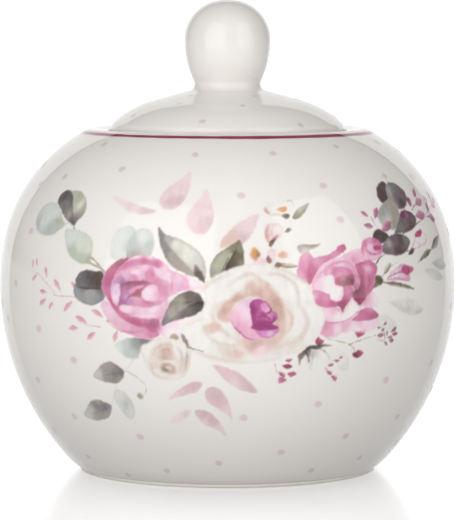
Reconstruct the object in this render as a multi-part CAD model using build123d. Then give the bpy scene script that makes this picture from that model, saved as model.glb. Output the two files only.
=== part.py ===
from build123d import *
from math import asin, cos, degrees, radians, sin
import os

# A covered porcelain sugar bowl, in millimetres. The origin is the centre of the
# plane that the foot ring stands on, +Z is up, and the printed front faces -Y.
# Every piece is turned about the Z axis, so each one is drawn as half a section:
# tangent arcs, each given by its radius and the angle that it turns through.

# --- bowl: outer skin, from the crest of the lip down to the foot --------------
RIM_HEIGHT = 79.4
LIP_CREST_RADIUS = 31.73
LIP_ROUND = 1.8
LIP_TURN = 27.5
SHOULDER_ROUND = 37.8
SHOULDER_TURN = 56.6
BELLY_ROUND = 60.0
BELLY_TURN = 47.2
HEEL_ROUND = 20.0
HEEL_TURN = 12.6

# --- bowl: wall, floor and foot ring -------------------------------------------
WALL = 3.5
FLOOR_HEIGHT = 4.8
FLOOR_ROUND = 14.0
FOOT_RADIUS = 34.4
FOOT_WIDTH = 3.2
FOOT_EDGE_ROUND = 0.4
RECESS_HEIGHT = 1.6
RECESS_RADIUS = 30.4

# --- bowl: mouth, with the ledge that the lid rests on -------------------------
LAND_HEIGHT = 79.0
LAND_EDGE_ROUND = 0.4
SEAT_RADIUS = 27.7
SEAT_HEIGHT = 78.5
THROAT_RADIUS = 24.4
THROAT_ROUND = 0.8
LEDGE_ROUND = 12.0
LEDGE_HEADING = 5.0
LEDGE_END_HEADING = 40.0

# --- lid ----------------------------------------------------------------------
KNOB_SEAT_RADIUS = 8.5
KNOB_SEAT_HEIGHT = 88.23
CROWN_HEADING = 13.4
CROWN_ROUND = 174.0
CROWN_TURN = 3.13
DOME_ROUND = 22.6
DOME_TURN = 26.2
LID_EDGE_ROUND = 1.6
LID_UNDER_ROUND = 0.8
LID_WALL = 3.0
COLLAR_RADIUS = 23.6
COLLAR_WALL = 2.4
COLLAR_DEPTH = 5.4
COLLAR_END_ROUND = 0.9
COLLAR_ROOT_ROUND = 1.5
VENT_RADIUS = 1.5

# --- knob ---------------------------------------------------------------------
KNOB_TOP = 109.2
KNOB_CROWN_ROUND = 12.8
KNOB_CROWN_TURN = 11.5
KNOB_SHOULDER_ROUND = 9.27
KNOB_FLANK_ROUND = 21.8
KNOB_FLANK_TURN = 25.1
KNOB_WAIST_ROUND = 2.0
KNOB_WALL = 2.6


def along(heading):
    """Unit vector of a heading in degrees: 0 is outward, 90 is down."""
    return Vector(cos(radians(heading)), -sin(radians(heading)))


def spoke(heading):
    """Unit vector out of the skin where it runs along a heading."""
    return along(heading - 90)


def bend(start, heading, radius, turn):
    """A tangent arc that turns inward by a positive angle, outward by a negative one."""
    centre = start - spoke(heading) * radius if turn > 0 else start + spoke(heading) * radius
    reach = start - centre
    middle = centre + reach.rotate(Axis.Z, -turn / 2)
    end = centre + reach.rotate(Axis.Z, -turn)
    return ThreePointArc(start, middle, end)


def bend_chain(start, heading, bends):
    """Tangent arcs one after another, given as (radius, turn) pairs."""
    arcs = []
    for radius, turn in bends:
        arc = bend(start, heading, radius, turn)
        arcs.append(arc)
        start = arc @ 1
        heading = heading + turn
    return arcs


def straight(*points):
    """Straight edges through the points in order."""
    return Polyline(*[Vector(*point) for point in points])


def round_corners(section, corners):
    """Round the section's corner nearest each point, given as (point, radius) pairs."""
    for point, radius in corners:
        corner = section.vertices().sort_by_distance(Vector(*point))[0]
        section = fillet(corner, radius)
    return section


def turn_section(section):
    """Revolve a half section, drawn with radius as X and height as Y."""
    return revolve(Plane.XZ * section, Axis.Z, 360)


def make_bowl():
    crest = Vector(LIP_CREST_RADIUS, RIM_HEIGHT)
    skin = bend_chain(crest, 0, [
        (LIP_ROUND, LIP_TURN),
        (SHOULDER_ROUND, SHOULDER_TURN),
        (BELLY_ROUND, BELLY_TURN),
        (HEEL_ROUND, HEEL_TURN),
    ])
    heel = skin[-1] @ 1

    # The inside wall follows the skin's own centres, one wall thickness further in.
    belly_heading = LIP_TURN + SHOULDER_TURN
    lip_centre = crest - spoke(0) * LIP_ROUND
    shoulder_centre = lip_centre - spoke(LIP_TURN) * (SHOULDER_ROUND - LIP_ROUND)
    belly_centre = shoulder_centre - spoke(belly_heading) * (BELLY_ROUND - SHOULDER_ROUND)
    inner_shoulder = SHOULDER_ROUND - WALL
    inner_belly = BELLY_ROUND - WALL
    floor_drop = belly_centre.Y - FLOOR_ROUND - FLOOR_HEIGHT
    floor_heading = 90 + degrees(asin(floor_drop / (inner_belly - FLOOR_ROUND)))
    ledge_end = shoulder_centre + spoke(LEDGE_END_HEADING) * inner_shoulder
    inside = bend_chain(ledge_end, LEDGE_END_HEADING, [
        (inner_shoulder, belly_heading - LEDGE_END_HEADING),
        (inner_belly, floor_heading - belly_heading),
        (FLOOR_ROUND, 180 - floor_heading),
    ])
    floor_edge = inside[-1] @ 1

    # The same wall, carried up and inward, thickens into the ledge at the mouth.
    ledge_centre = ledge_end - spoke(LEDGE_END_HEADING) * LEDGE_ROUND
    ledge_start = ledge_centre + spoke(LEDGE_HEADING) * LEDGE_ROUND
    ledge = bend(ledge_start, LEDGE_HEADING, LEDGE_ROUND, LEDGE_END_HEADING - LEDGE_HEADING)
    ledge_run = (ledge_start.X - THROAT_RADIUS) / along(LEDGE_HEADING).X
    throat_foot = ledge_start - along(LEDGE_HEADING) * ledge_run

    base = straight(
        heel,
        (FOOT_RADIUS, heel.Y),
        (FOOT_RADIUS, 0),
        (FOOT_RADIUS - FOOT_WIDTH, 0),
        (RECESS_RADIUS, RECESS_HEIGHT),
        (0, RECESS_HEIGHT),
        (0, FLOOR_HEIGHT),
        floor_edge,
    )
    mouth = straight(
        ledge_start,
        throat_foot,
        (THROAT_RADIUS, SEAT_HEIGHT),
        (SEAT_RADIUS, SEAT_HEIGHT),
        (SEAT_RADIUS, LAND_HEIGHT),
        crest,
    )
    section = make_face([*skin, *base.edges(), *inside, ledge, *mouth.edges()])
    section = round_corners(section, [
        ((FOOT_RADIUS, 0), FOOT_EDGE_ROUND),
        ((FOOT_RADIUS - FOOT_WIDTH, 0), FOOT_EDGE_ROUND),
        ((SEAT_RADIUS, LAND_HEIGHT), LAND_EDGE_ROUND),
        ((THROAT_RADIUS, SEAT_HEIGHT), THROAT_ROUND / 2),
        (throat_foot, THROAT_ROUND),
    ])
    return turn_section(section)


def make_lid():
    dome_heading = CROWN_HEADING + CROWN_TURN
    edge_heading = dome_heading + DOME_TURN
    seat_edge = Vector(KNOB_SEAT_RADIUS, KNOB_SEAT_HEIGHT)
    skin = bend_chain(seat_edge, CROWN_HEADING, [
        (CROWN_ROUND, CROWN_TURN),
        (DOME_ROUND, DOME_TURN),
        (LID_EDGE_ROUND, 90 - edge_heading),
    ])
    rim = skin[-1] @ 1

    # The inside dome follows the skin's centres and ends at the collar's inner face.
    crown_end = skin[0] @ 1
    dome_centre = crown_end - spoke(dome_heading) * DOME_ROUND
    inner_dome = DOME_ROUND - LID_WALL
    collar_inside = COLLAR_RADIUS - COLLAR_WALL
    collar_heading = degrees(asin((collar_inside - dome_centre.X) / inner_dome))
    inside_start = seat_edge - spoke(CROWN_HEADING) * LID_WALL
    inside = bend_chain(inside_start, CROWN_HEADING, [
        (CROWN_ROUND - LID_WALL, CROWN_TURN),
        (inner_dome, collar_heading - dome_heading),
    ])
    collar_root = inside[-1] @ 1
    collar_end = SEAT_HEIGHT - COLLAR_DEPTH

    underside = straight(
        rim,
        (rim.X, SEAT_HEIGHT),
        (COLLAR_RADIUS, SEAT_HEIGHT),
        (COLLAR_RADIUS, collar_end),
        (collar_inside, collar_end),
        collar_root,
    )
    vent = straight(
        inside_start,
        (VENT_RADIUS, inside_start.Y),
        (VENT_RADIUS, KNOB_SEAT_HEIGHT),
        (KNOB_SEAT_RADIUS, KNOB_SEAT_HEIGHT),
    )
    section = make_face([*skin, *underside.edges(), *inside, *vent.edges()])
    section = round_corners(section, [
        ((rim.X, SEAT_HEIGHT), LID_UNDER_ROUND),
        ((COLLAR_RADIUS, collar_end), COLLAR_END_ROUND),
        ((collar_inside, collar_end), COLLAR_END_ROUND),
        (collar_root, COLLAR_ROOT_ROUND),
    ])
    return turn_section(section)


def knob_skin(inset):
    """The knob's arcs from its top to its seat, drawn a distance inside its surface."""
    shoulder_turn = 90 - KNOB_CROWN_TURN
    crown_centre = Vector(0, KNOB_TOP - KNOB_CROWN_ROUND)
    shoulder_step = KNOB_CROWN_ROUND - KNOB_SHOULDER_ROUND
    shoulder_centre = crown_centre + spoke(KNOB_CROWN_TURN) * shoulder_step
    flank_centre = shoulder_centre - spoke(90) * (KNOB_FLANK_ROUND - KNOB_SHOULDER_ROUND)
    waist_step = KNOB_FLANK_ROUND + KNOB_WAIST_ROUND
    waist_centre = flank_centre + spoke(90 + KNOB_FLANK_TURN) * waist_step
    waist_round = KNOB_WAIST_ROUND + inset
    flare_turn = degrees(asin((waist_centre.Y - KNOB_SEAT_HEIGHT) / waist_round))
    return bend_chain(Vector(0, KNOB_TOP - inset), 0, [
        (KNOB_CROWN_ROUND - inset, KNOB_CROWN_TURN),
        (KNOB_SHOULDER_ROUND - inset, shoulder_turn),
        (KNOB_FLANK_ROUND - inset, KNOB_FLANK_TURN),
        (waist_round, -KNOB_FLANK_TURN - flare_turn),
    ])


def make_knob():
    outside = knob_skin(0)
    inside = knob_skin(KNOB_WALL)
    foot = straight(outside[-1] @ 1, inside[-1] @ 1)
    crown = straight((0, KNOB_TOP - KNOB_WALL), (0, KNOB_TOP))
    section = make_face([*outside, *foot.edges(), *inside, *crown.edges()])
    return turn_section(section)


os.makedirs("parts", exist_ok=True)
export_step(make_bowl(), "parts/bowl.step")
export_step(make_lid(), "parts/lid.step")
export_step(make_knob(), "parts/lid_knob.step")
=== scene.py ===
import math
import bpy
import numpy as np
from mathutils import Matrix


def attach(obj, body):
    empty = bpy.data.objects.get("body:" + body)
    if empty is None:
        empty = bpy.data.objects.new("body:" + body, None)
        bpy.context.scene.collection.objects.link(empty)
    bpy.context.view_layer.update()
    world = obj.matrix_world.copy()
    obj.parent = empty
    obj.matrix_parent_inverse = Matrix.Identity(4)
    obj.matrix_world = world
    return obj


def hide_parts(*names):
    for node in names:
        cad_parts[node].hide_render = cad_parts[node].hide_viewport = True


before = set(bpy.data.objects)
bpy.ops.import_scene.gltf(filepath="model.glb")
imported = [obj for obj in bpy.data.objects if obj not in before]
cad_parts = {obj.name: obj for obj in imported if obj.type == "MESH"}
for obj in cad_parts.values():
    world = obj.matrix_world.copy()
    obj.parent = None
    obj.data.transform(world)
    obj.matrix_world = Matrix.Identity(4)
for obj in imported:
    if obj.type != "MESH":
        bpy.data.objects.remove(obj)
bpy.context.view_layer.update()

# A covered porcelain sugar bowl. Shapes are worked out in millimetres, in the frame
# of the CAD part, and turned into metres as each mesh is made.
MM = 0.001
SEGMENTS = 256              # round the axis
SKIN_STEP, INSIDE_STEP, FINE_STEP, FLAT_STEP = 0.7, 1.3, 1.0, 3.0   # along the half sections
SKIN_ANGLE = 5.0            # degrees; the same, where the section bends tightly
SMOOTH_ANGLE = 38           # degrees; a sharper edge is drawn sharp
FILM_STEP = 0.2             # the print's own mesh
FILM_MARGIN = 3             # steps of bare film kept round the ink
LEAST_INK = 0.02            # the film is cut away where there is less
PRINT_LIFT, DOT_LIFT = 0.02, 0.03

# The glaze's own colour, sRGB from 0 to 255. Every ink is stored as a share of it.
PAPER = (240, 236, 231)


def linear(colour):
    """sRGB from 0 to 255, as linear light."""
    c = np.clip(np.asarray(colour, float) / 255.0, 0.0, 1.0)
    return np.where(c <= 0.04045, c / 12.92, ((c + 0.055) / 1.055) ** 2.4)


# ---------------------------------------------------------------- half sections

class Skin:
    """A run of tangent arcs in the half section, radius across and height up.
    Heading 0 is outward and 90 is down. A bend (radius, turn) turns inward if turn is positive."""

    def __init__(self, start, heading, bends):
        self.arcs, self.length = [], 0.0
        at, heading = np.array(start, float), math.radians(heading)
        for radius, turn in bends:
            turn = math.radians(turn)
            side = math.copysign(1.0, turn)
            centre = at - side * radius * self.spoke(heading)
            self.arcs.append((self.length, heading, turn, radius, side, centre))
            self.length += radius * abs(turn)
            heading += turn
            at = centre + side * radius * self.spoke(heading)
        self.end = at

    @staticmethod
    def spoke(heading):
        """Out of the skin, for a heading in radians."""
        return np.stack([np.sin(heading), np.cos(heading)], -1)

    def at(self, lengths, lift=0.0):
        """Points at these lengths along the skin, lifted off it."""
        lengths = np.asarray(lengths, float)
        points, out = np.zeros((*lengths.shape, 2)), np.zeros((*lengths.shape, 2))
        for first, heading, turn, radius, side, centre in self.arcs:
            here = lengths >= first - 1e-9
            swept = heading + side * (lengths[here] - first) / radius
            out[here] = self.spoke(swept)
            points[here] = centre + side * radius * out[here]
        return points + lift * out

    def steps(self, step):
        """Lengths that sample every arc at least this finely, in mm, and every SKIN_ANGLE."""
        runs = []
        for first, _, turn, radius, _, _ in self.arcs:
            long = radius * abs(turn)
            count = math.ceil(max(long / step, abs(math.degrees(turn)) / SKIN_ANGLE))
            runs.append(np.linspace(first, first + long, count, endpoint=False))
        return np.append(np.concatenate(runs), self.length)

    def sample(self, step=SKIN_STEP):
        """Points along the whole skin."""
        return [tuple(p) for p in self.at(self.steps(step))]

    def length_at_heading(self, heading):
        """How far along the skin it first points this way."""
        for first, start, turn, radius, _, _ in self.arcs:
            past = (math.radians(heading) - start) / turn
            if 0.0 <= past <= 1.0:
                return first + past * abs(turn) * radius
        raise ValueError(heading)


def rounded(points, corners):
    """The points with the corner nearest each given one rounded, as (corner, radius) pairs."""
    points = [np.array(p, float) for p in points]
    for corner, radius in corners:
        i = int(np.argmin([np.hypot(*(p - corner)) for p in points]))
        here = points[i]
        back, ahead = points[i - 1] - here, points[(i + 1) % len(points)] - here
        back_long, ahead_long = np.hypot(*back), np.hypot(*ahead)
        back, ahead = back / back_long, ahead / ahead_long
        half = 0.5 * math.acos(float(np.clip(back @ ahead, -1, 1)))
        reach = min(radius / math.tan(half), 0.95 * back_long, 0.95 * ahead_long)
        bow = np.linspace(0, 1, 7)[:, None]
        start, end = here + back * reach, here + ahead * reach
        points[i:i + 1] = list((1 - bow) ** 2 * start + 2 * bow * (1 - bow) * here + bow ** 2 * end)
    return points


def divided(points, step):
    """The points with more between any two that are further apart than step."""
    out = []
    for a, b in zip(points[:-1], points[1:]):
        count = max(1, math.ceil(np.hypot(*(np.array(b) - a)) / step))
        out += [np.array(a) + (np.array(b) - a) * k / count for k in range(count)]
    return out + [np.array(points[-1])]


# ---------------------------------------------------------------- sizes and sections

# Driving sizes of the part, in millimetres
RIM_HEIGHT = 79.4
LIP_CREST_RADIUS = 31.73
LIP_ROUND, LIP_TURN = 1.8, 27.5
SHOULDER_ROUND, SHOULDER_TURN = 37.8, 56.6
BELLY_ROUND, BELLY_TURN = 60.0, 47.2
HEEL_ROUND, HEEL_TURN = 20.0, 12.6
WALL = 3.5
FLOOR_HEIGHT, FLOOR_ROUND = 4.8, 14.0
FOOT_RADIUS, FOOT_WIDTH = 34.4, 3.2
RECESS_RADIUS, RECESS_HEIGHT = 30.4, 1.6
LAND_HEIGHT = 79.0
SEAT_RADIUS, SEAT_HEIGHT = 27.7, 78.5
THROAT_RADIUS = 24.4
LEDGE_ROUND, LEDGE_HEADING, LEDGE_END_HEADING = 12.0, 5.0, 40.0
KNOB_SEAT_RADIUS, KNOB_SEAT_HEIGHT = 8.5, 88.23
CROWN_ROUND, CROWN_HEADING, CROWN_TURN = 174.0, 13.4, 3.13
DOME_ROUND, DOME_TURN = 22.6, 26.2
LID_EDGE_ROUND, LID_WALL = 1.6, 3.0
COLLAR_RADIUS, COLLAR_WALL, COLLAR_DEPTH = 23.6, 2.4, 5.4
VENT_RADIUS = 1.5
KNOB_TOP = 109.2
KNOB_BENDS = [(12.8, 11.5), (9.27, 78.5), (21.8, 25.1)]
KNOB_WAIST_ROUND, KNOB_WALL = 2.0, 2.6

# Roundings of the edges
FOOT_EDGE_ROUND, HEEL_STEP_ROUND, RECESS_EDGE_ROUND = 0.45, 0.35, 0.8
LAND_EDGE_ROUND, SEAT_CORNER_ROUND = 0.4, 0.15
THROAT_TOP_ROUND, THROAT_FOOT_ROUND = 0.4, 0.8
LID_UNDER_ROUND, COLLAR_TOP_ROUND, COLLAR_END_ROUND, COLLAR_ROOT_ROUND = 0.7, 0.3, 0.9, 1.5
VENT_EDGE_ROUND = 0.3

# The knob's glazed foot runs out onto the lid from where the waist has this heading
GLAZE_FILLET_HEADING = 60.0
KNOB_STEP = 0.35
GLAZE_SKIRT, KNOB_SINK, KNOB_FOOT_WIDTH = 0.03, 0.02, 0.6

bowl_skin = Skin((LIP_CREST_RADIUS, RIM_HEIGHT), 0, [
    (LIP_ROUND, LIP_TURN),
    (SHOULDER_ROUND, SHOULDER_TURN),
    (BELLY_ROUND, BELLY_TURN),
    (HEEL_ROUND, HEEL_TURN),
])
BELLY_LENGTH = bowl_skin.length_at_heading(90)
BELLY_RADIUS = bowl_skin.at(np.array([BELLY_LENGTH]))[0][0]

lid_skin = Skin((KNOB_SEAT_RADIUS, KNOB_SEAT_HEIGHT), CROWN_HEADING, [
    (CROWN_ROUND, CROWN_TURN),
    (DOME_ROUND, DOME_TURN),
    (LID_EDGE_ROUND, 90 - CROWN_HEADING - CROWN_TURN - DOME_TURN),
])


def unit(heading):
    """The direction of a heading in degrees, in the half section."""
    h = math.radians(heading)
    return np.array([math.cos(h), -math.sin(h)])


def bowl_section():
    """The bowl's half section, from the middle of its underside round to the middle of its floor."""
    belly_heading = LIP_TURN + SHOULDER_TURN
    spoke = Skin.spoke
    shoulder_centre, belly_centre = bowl_skin.arcs[1][5], bowl_skin.arcs[2][5]
    inner_shoulder, inner_belly = SHOULDER_ROUND - WALL, BELLY_ROUND - WALL
    drop = belly_centre[1] - FLOOR_ROUND - FLOOR_HEIGHT
    floor_heading = 90 + math.degrees(math.asin(drop / (inner_belly - FLOOR_ROUND)))
    ledge_end = shoulder_centre + inner_shoulder * spoke(math.radians(LEDGE_END_HEADING))
    inside = Skin(ledge_end, LEDGE_END_HEADING, [
        (inner_shoulder, belly_heading - LEDGE_END_HEADING),
        (inner_belly, floor_heading - belly_heading),
        (FLOOR_ROUND, 180 - floor_heading),
    ])
    ledge_centre = ledge_end - LEDGE_ROUND * spoke(math.radians(LEDGE_END_HEADING))
    ledge_start = ledge_centre + LEDGE_ROUND * spoke(math.radians(LEDGE_HEADING))
    ledge = Skin(ledge_start, LEDGE_HEADING, [(LEDGE_ROUND, LEDGE_END_HEADING - LEDGE_HEADING)])
    run = (ledge_start[0] - THROAT_RADIUS) / unit(LEDGE_HEADING)[0]
    throat_foot = ledge_start - unit(LEDGE_HEADING) * run
    heel = bowl_skin.end
    foot_in = FOOT_RADIUS - FOOT_WIDTH
    recess_edge = (RECESS_RADIUS, RECESS_HEIGHT)
    foot = divided([(0, RECESS_HEIGHT), recess_edge], FLAT_STEP) + [
        np.array((foot_in, 0)), np.array((FOOT_RADIUS, 0)), np.array((FOOT_RADIUS, heel[1]))]
    mouth = [(SEAT_RADIUS, LAND_HEIGHT), (SEAT_RADIUS, SEAT_HEIGHT), (THROAT_RADIUS, SEAT_HEIGHT),
             throat_foot]
    points = foot + bowl_skin.sample()[::-1] + mouth + ledge.sample(FINE_STEP)
    points += inside.sample(INSIDE_STEP)[1:] + divided([inside.end, (0, FLOOR_HEIGHT)], FLAT_STEP)[1:]
    return rounded(points, [
        (recess_edge, RECESS_EDGE_ROUND),
        ((foot_in, 0), FOOT_EDGE_ROUND),
        ((FOOT_RADIUS, 0), FOOT_EDGE_ROUND),
        ((FOOT_RADIUS, heel[1]), HEEL_STEP_ROUND),
        ((SEAT_RADIUS, LAND_HEIGHT), LAND_EDGE_ROUND),
        ((SEAT_RADIUS, SEAT_HEIGHT), SEAT_CORNER_ROUND),
        ((THROAT_RADIUS, SEAT_HEIGHT), THROAT_TOP_ROUND),
        (throat_foot, THROAT_FOOT_ROUND),
    ])


def lid_section():
    """The lid's half section, all round from the edge of its vent."""
    dome_heading = CROWN_HEADING + CROWN_TURN
    dome_centre = lid_skin.arcs[1][5]
    inner_dome = DOME_ROUND - LID_WALL
    collar_inside = COLLAR_RADIUS - COLLAR_WALL
    collar_heading = math.degrees(math.asin((collar_inside - dome_centre[0]) / inner_dome))
    seat_edge = np.array((KNOB_SEAT_RADIUS, KNOB_SEAT_HEIGHT))
    inside_start = seat_edge - LID_WALL * Skin.spoke(math.radians(CROWN_HEADING))
    inside = Skin(inside_start, CROWN_HEADING, [
        (CROWN_ROUND - LID_WALL, CROWN_TURN),
        (inner_dome, collar_heading - dome_heading),
    ])
    collar_end = SEAT_HEIGHT - COLLAR_DEPTH
    rim = lid_skin.end
    points = divided([(VENT_RADIUS, KNOB_SEAT_HEIGHT), seat_edge], FINE_STEP)[:-1] + lid_skin.sample() + [
        (rim[0], SEAT_HEIGHT), (COLLAR_RADIUS, SEAT_HEIGHT), (COLLAR_RADIUS, collar_end),
        (collar_inside, collar_end)]
    points += inside.sample(FINE_STEP)[::-1] + [(VENT_RADIUS, inside_start[1])]
    return rounded(points, [
        ((rim[0], SEAT_HEIGHT), LID_UNDER_ROUND),
        ((COLLAR_RADIUS, SEAT_HEIGHT), COLLAR_TOP_ROUND),
        ((COLLAR_RADIUS, collar_end), COLLAR_END_ROUND),
        ((collar_inside, collar_end), COLLAR_END_ROUND),
        (inside.end, COLLAR_ROOT_ROUND),
        ((VENT_RADIUS, inside_start[1]), VENT_EDGE_ROUND),
    ])


def knob_section():
    """The knob's half section, from its top down the outside, over its glazed foot and up the inside."""
    waist = [*KNOB_BENDS, (KNOB_WAIST_ROUND, GLAZE_FILLET_HEADING - 90 - KNOB_BENDS[2][1])]
    neck = Skin((0, KNOB_TOP), 0, waist)
    seat = np.array((KNOB_SEAT_RADIUS, KNOB_SEAT_HEIGHT))
    above = (neck.end - seat) @ Skin.spoke(math.radians(CROWN_HEADING))
    fillet = above / (1 - math.cos(math.radians(GLAZE_FILLET_HEADING - CROWN_HEADING)))
    outside = Skin((0, KNOB_TOP), 0, [*waist, (fillet, CROWN_HEADING - GLAZE_FILLET_HEADING)])
    inner_bends = [(radius - KNOB_WALL, turn) for radius, turn in KNOB_BENDS]
    inside = Skin((0, KNOB_TOP - KNOB_WALL), 0, inner_bends)
    skirt = outside.end - GLAZE_SKIRT * Skin.spoke(math.radians(CROWN_HEADING))
    foot = KNOB_SEAT_HEIGHT - KNOB_SINK
    points = outside.sample(KNOB_STEP) + [tuple(skirt), (KNOB_SEAT_RADIUS - KNOB_FOOT_WIDTH, foot)]
    return points + [(inside.end[0], foot)] + inside.sample()[::-1]


# ---------------------------------------------------------------- meshes

def turned(name, section, closed=False):
    """A mesh turned about Z from a half section; a point on the axis becomes one shared vertex."""
    rings, verts, faces = [], [], []
    turns = 2 * np.pi * np.arange(SEGMENTS) / SEGMENTS
    for r, z in section:
        if r < 1e-6:
            rings.append([len(verts)])
            verts.append((0.0, 0.0, z * MM))
            continue
        rings.append(list(range(len(verts), len(verts) + SEGMENTS)))
        verts += [(r * math.sin(a) * MM, -r * math.cos(a) * MM, z * MM) for a in turns]
    pairs = list(zip(rings[:-1], rings[1:])) + ([(rings[-1], rings[0])] if closed else [])
    for low, high in pairs:
        for k in range(SEGMENTS):
            n = (k + 1) % SEGMENTS
            quad = [low[k % len(low)], low[n % len(low)], high[n % len(high)], high[k % len(high)]]
            faces.append(list(dict.fromkeys(quad)))
    return made(name, verts, faces)


def made(name, verts, faces):
    """A smooth-shaded object from points in metres and the faces between them."""
    mesh = bpy.data.meshes.new(name)
    mesh.from_pydata([tuple(v) for v in verts], [], faces)
    mesh.validate()
    mesh.shade_smooth()
    mesh.set_sharp_from_angle(angle=math.radians(SMOOTH_ANGLE))
    obj = bpy.data.objects.new(name, mesh)
    bpy.context.collection.objects.link(obj)
    return obj


def flip_if_inside_out(obj):
    """Turn the faces so that they all look out of the solid."""
    mesh = obj.data
    mesh.calc_loop_triangles()
    verts = np.zeros(len(mesh.vertices) * 3)
    corners = np.zeros(len(mesh.loop_triangles) * 3, np.int32)
    mesh.vertices.foreach_get("co", verts)
    mesh.loop_triangles.foreach_get("vertices", corners)
    a, b, c = verts.reshape(-1, 3)[corners.reshape(-1, 3)].transpose(1, 0, 2)
    if (a * np.cross(b, c)).sum() < 0:
        mesh.flip_normals()


def round_axis(half, turn):
    """Points in metres from points of the half section, each turned this far from the front, in radians."""
    return np.stack([half[:, 0] * np.sin(turn), -half[:, 0] * np.cos(turn), half[:, 1]], -1) * MM


def wall_points(s, t, lift):
    """Points on the bowl's outside, in mm: s round the belly from the front, t up the wall from the belly."""
    half = bowl_skin.at(BELLY_LENGTH - np.asarray(t, float), lift)
    return round_axis(half, np.asarray(s, float) / BELLY_RADIUS)


def dome_points(turn, length, lift):
    """Points on the lid's top: turn in degrees from the front, length down the dome in mm."""
    half = lid_skin.at(length, lift)
    return round_axis(half, np.radians(turn))


def printed_skin(name, verts, faces, rgb):
    """A mesh whose ink attribute holds each point's colour as a linear share of the bare glaze's."""
    obj = made(name, verts, faces)
    layer = obj.data.color_attributes.new("ink", "FLOAT_COLOR", "POINT")
    rgba = np.ones((len(rgb), 4))
    rgba[:, :3] = np.clip(linear(rgb) / linear(PAPER), 0.0, 1.0)
    layer.data.foreach_set("color", rgba.ravel())
    obj.data.color_attributes.active_color = layer
    return obj


# ---------------------------------------------------------------- inks, sRGB

INKS = {
    "white": (238, 234, 230), "cream": (235, 231, 226),
    "cream_shade": (229, 217, 208), "cream_line": (217, 200, 189), "tan_blush": (221, 190, 180),
    "tan": (203, 168, 156),
    "blush": (240, 214, 219), "petal_wash": (233, 207, 209), "petal_wash_deep": (224, 189, 195),
    "wash_mauve": (212, 181, 185),
    "pink_white": (248, 234, 238), "pink_pale": (242, 214, 226), "pink_light": (234, 190, 209),
    "pink_soft": (230, 176, 199), "pink": (221, 151, 181), "rose": (206, 121, 158),
    "rose_deep": (192, 100, 141), "rose_dark": (160, 66, 104), "crimson": (196, 104, 134),
    "heart": (158, 86, 106), "maroon": (112, 34, 62), "magenta": (189, 96, 156),
    "magenta_deep": (160, 62, 122), "magenta_pale": (214, 146, 194),
    "lilac": (200, 150, 190), "lilac_pale": (228, 200, 222), "mauve": (176, 110, 154),
    "mauve_deep": (168, 98, 136), "berry": (186, 82, 124),
    "berry_pale": (214, 146, 172), "olive": (150, 148, 126), "olive_light": (184, 184, 164),
    "olive_dark": (110, 102, 82), "umber": (96, 82, 74), "umber_dark": (70, 58, 52),
    "stone": (168, 158, 150), "stone_light": (224, 221, 212), "mist": (219, 223, 218),
    "mist_shade": (192, 198, 194), "sage_pale": (218, 221, 209), "sage": (190, 198, 184),
    "slate": (128, 124, 124), "slate_blue": (152, 158, 160), "slate_dark": (104, 95, 96),
    "plum_grey": (122, 106, 112), "plum_dark": (98, 76, 82), "plum": (112, 54, 92),
    "ash": (172, 169, 166), "ash_pale": (208, 206, 198), "twig": (168, 156, 134),
    "orange": (226, 160, 104), "calyx": (150, 128, 112),
}
INK_LOAD = 1.2     # how heavily every ink is laid: 1 for the colours as listed
SPLINE_STEPS = 7   # from one given point of an outline to the next


def smooth_step(low, high, x):
    x = np.clip((x - low) / (high - low), 0.0, 1.0)
    return x * x * (3.0 - 2.0 * x)


def spline(points, closed=False):
    """Catmull-Rom curve through given points."""
    p = np.array(points, float)
    if closed:
        p = np.vstack([p[-1], p, p[0], p[1]])
    else:
        p = np.vstack([2 * p[0] - p[1], p, 2 * p[-1] - p[-2]])
    u = np.linspace(0, 1, SPLINE_STEPS, endpoint=False)[:, None]
    runs = []
    for a, b, c, d in zip(p[:-3], p[1:-2], p[2:-1], p[3:]):
        runs.append(b + 0.5 * u * (c - a + u * (2 * a - 5 * b + 4 * c - d + u * (3 * (b - c) + d - a))))
    if not closed:
        runs.append(p[-2:-1])
    return np.vstack(runs)


def value_noise(s, t, size, seed):
    """Smooth noise from 0 to 1 whose lumps are about one size across, in millimetres."""
    x, y = s / size, t / size
    i, j = np.floor(x), np.floor(y)
    fx, fy = x - i, y - j
    fx, fy = fx * fx * (3 - 2 * fx), fy * fy * (3 - 2 * fy)

    def lattice(a, b):
        h = np.sin(a * 127.1 + b * 311.7 + seed * 74.7) * 43758.5453
        return h - np.floor(h)

    low = lattice(i, j) * (1 - fx) + lattice(i + 1, j) * fx
    high = lattice(i, j + 1) * (1 - fx) + lattice(i + 1, j + 1) * fx
    return low * (1 - fy) + high * fy


def curve_distance(s, t, line):
    """Distance of each point from a polyline, and how far along the polyline it lies, 0 to 1."""
    a, b = line[:-1], line[1:]
    run = b - a
    length = np.maximum((run ** 2).sum(1), 1e-12)
    off_s, off_t = s[:, None] - a[:, 0], t[:, None] - a[:, 1]
    u = np.clip((off_s * run[:, 0] + off_t * run[:, 1]) / length, 0, 1)
    gap = (off_s - u * run[:, 0]) ** 2 + (off_t - u * run[:, 1]) ** 2
    nearest = gap.argmin(1)
    rows = np.arange(len(s))
    return np.sqrt(gap[rows, nearest]), (nearest + u[rows, nearest]) / len(a)


def inside_loop(s, t, loop):
    """True where a point lies inside a closed loop."""
    x0, y0 = loop[:, 0], loop[:, 1]
    x1, y1 = np.roll(x0, -1), np.roll(y0, -1)
    crosses = (y0 > t[:, None]) != (y1 > t[:, None])
    slope = (x1 - x0) / np.where(y1 == y0, 1e-12, y1 - y0)
    return (crosses & (s[:, None] < x0 + (t[:, None] - y0) * slope)).sum(1) % 2 == 1


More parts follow.
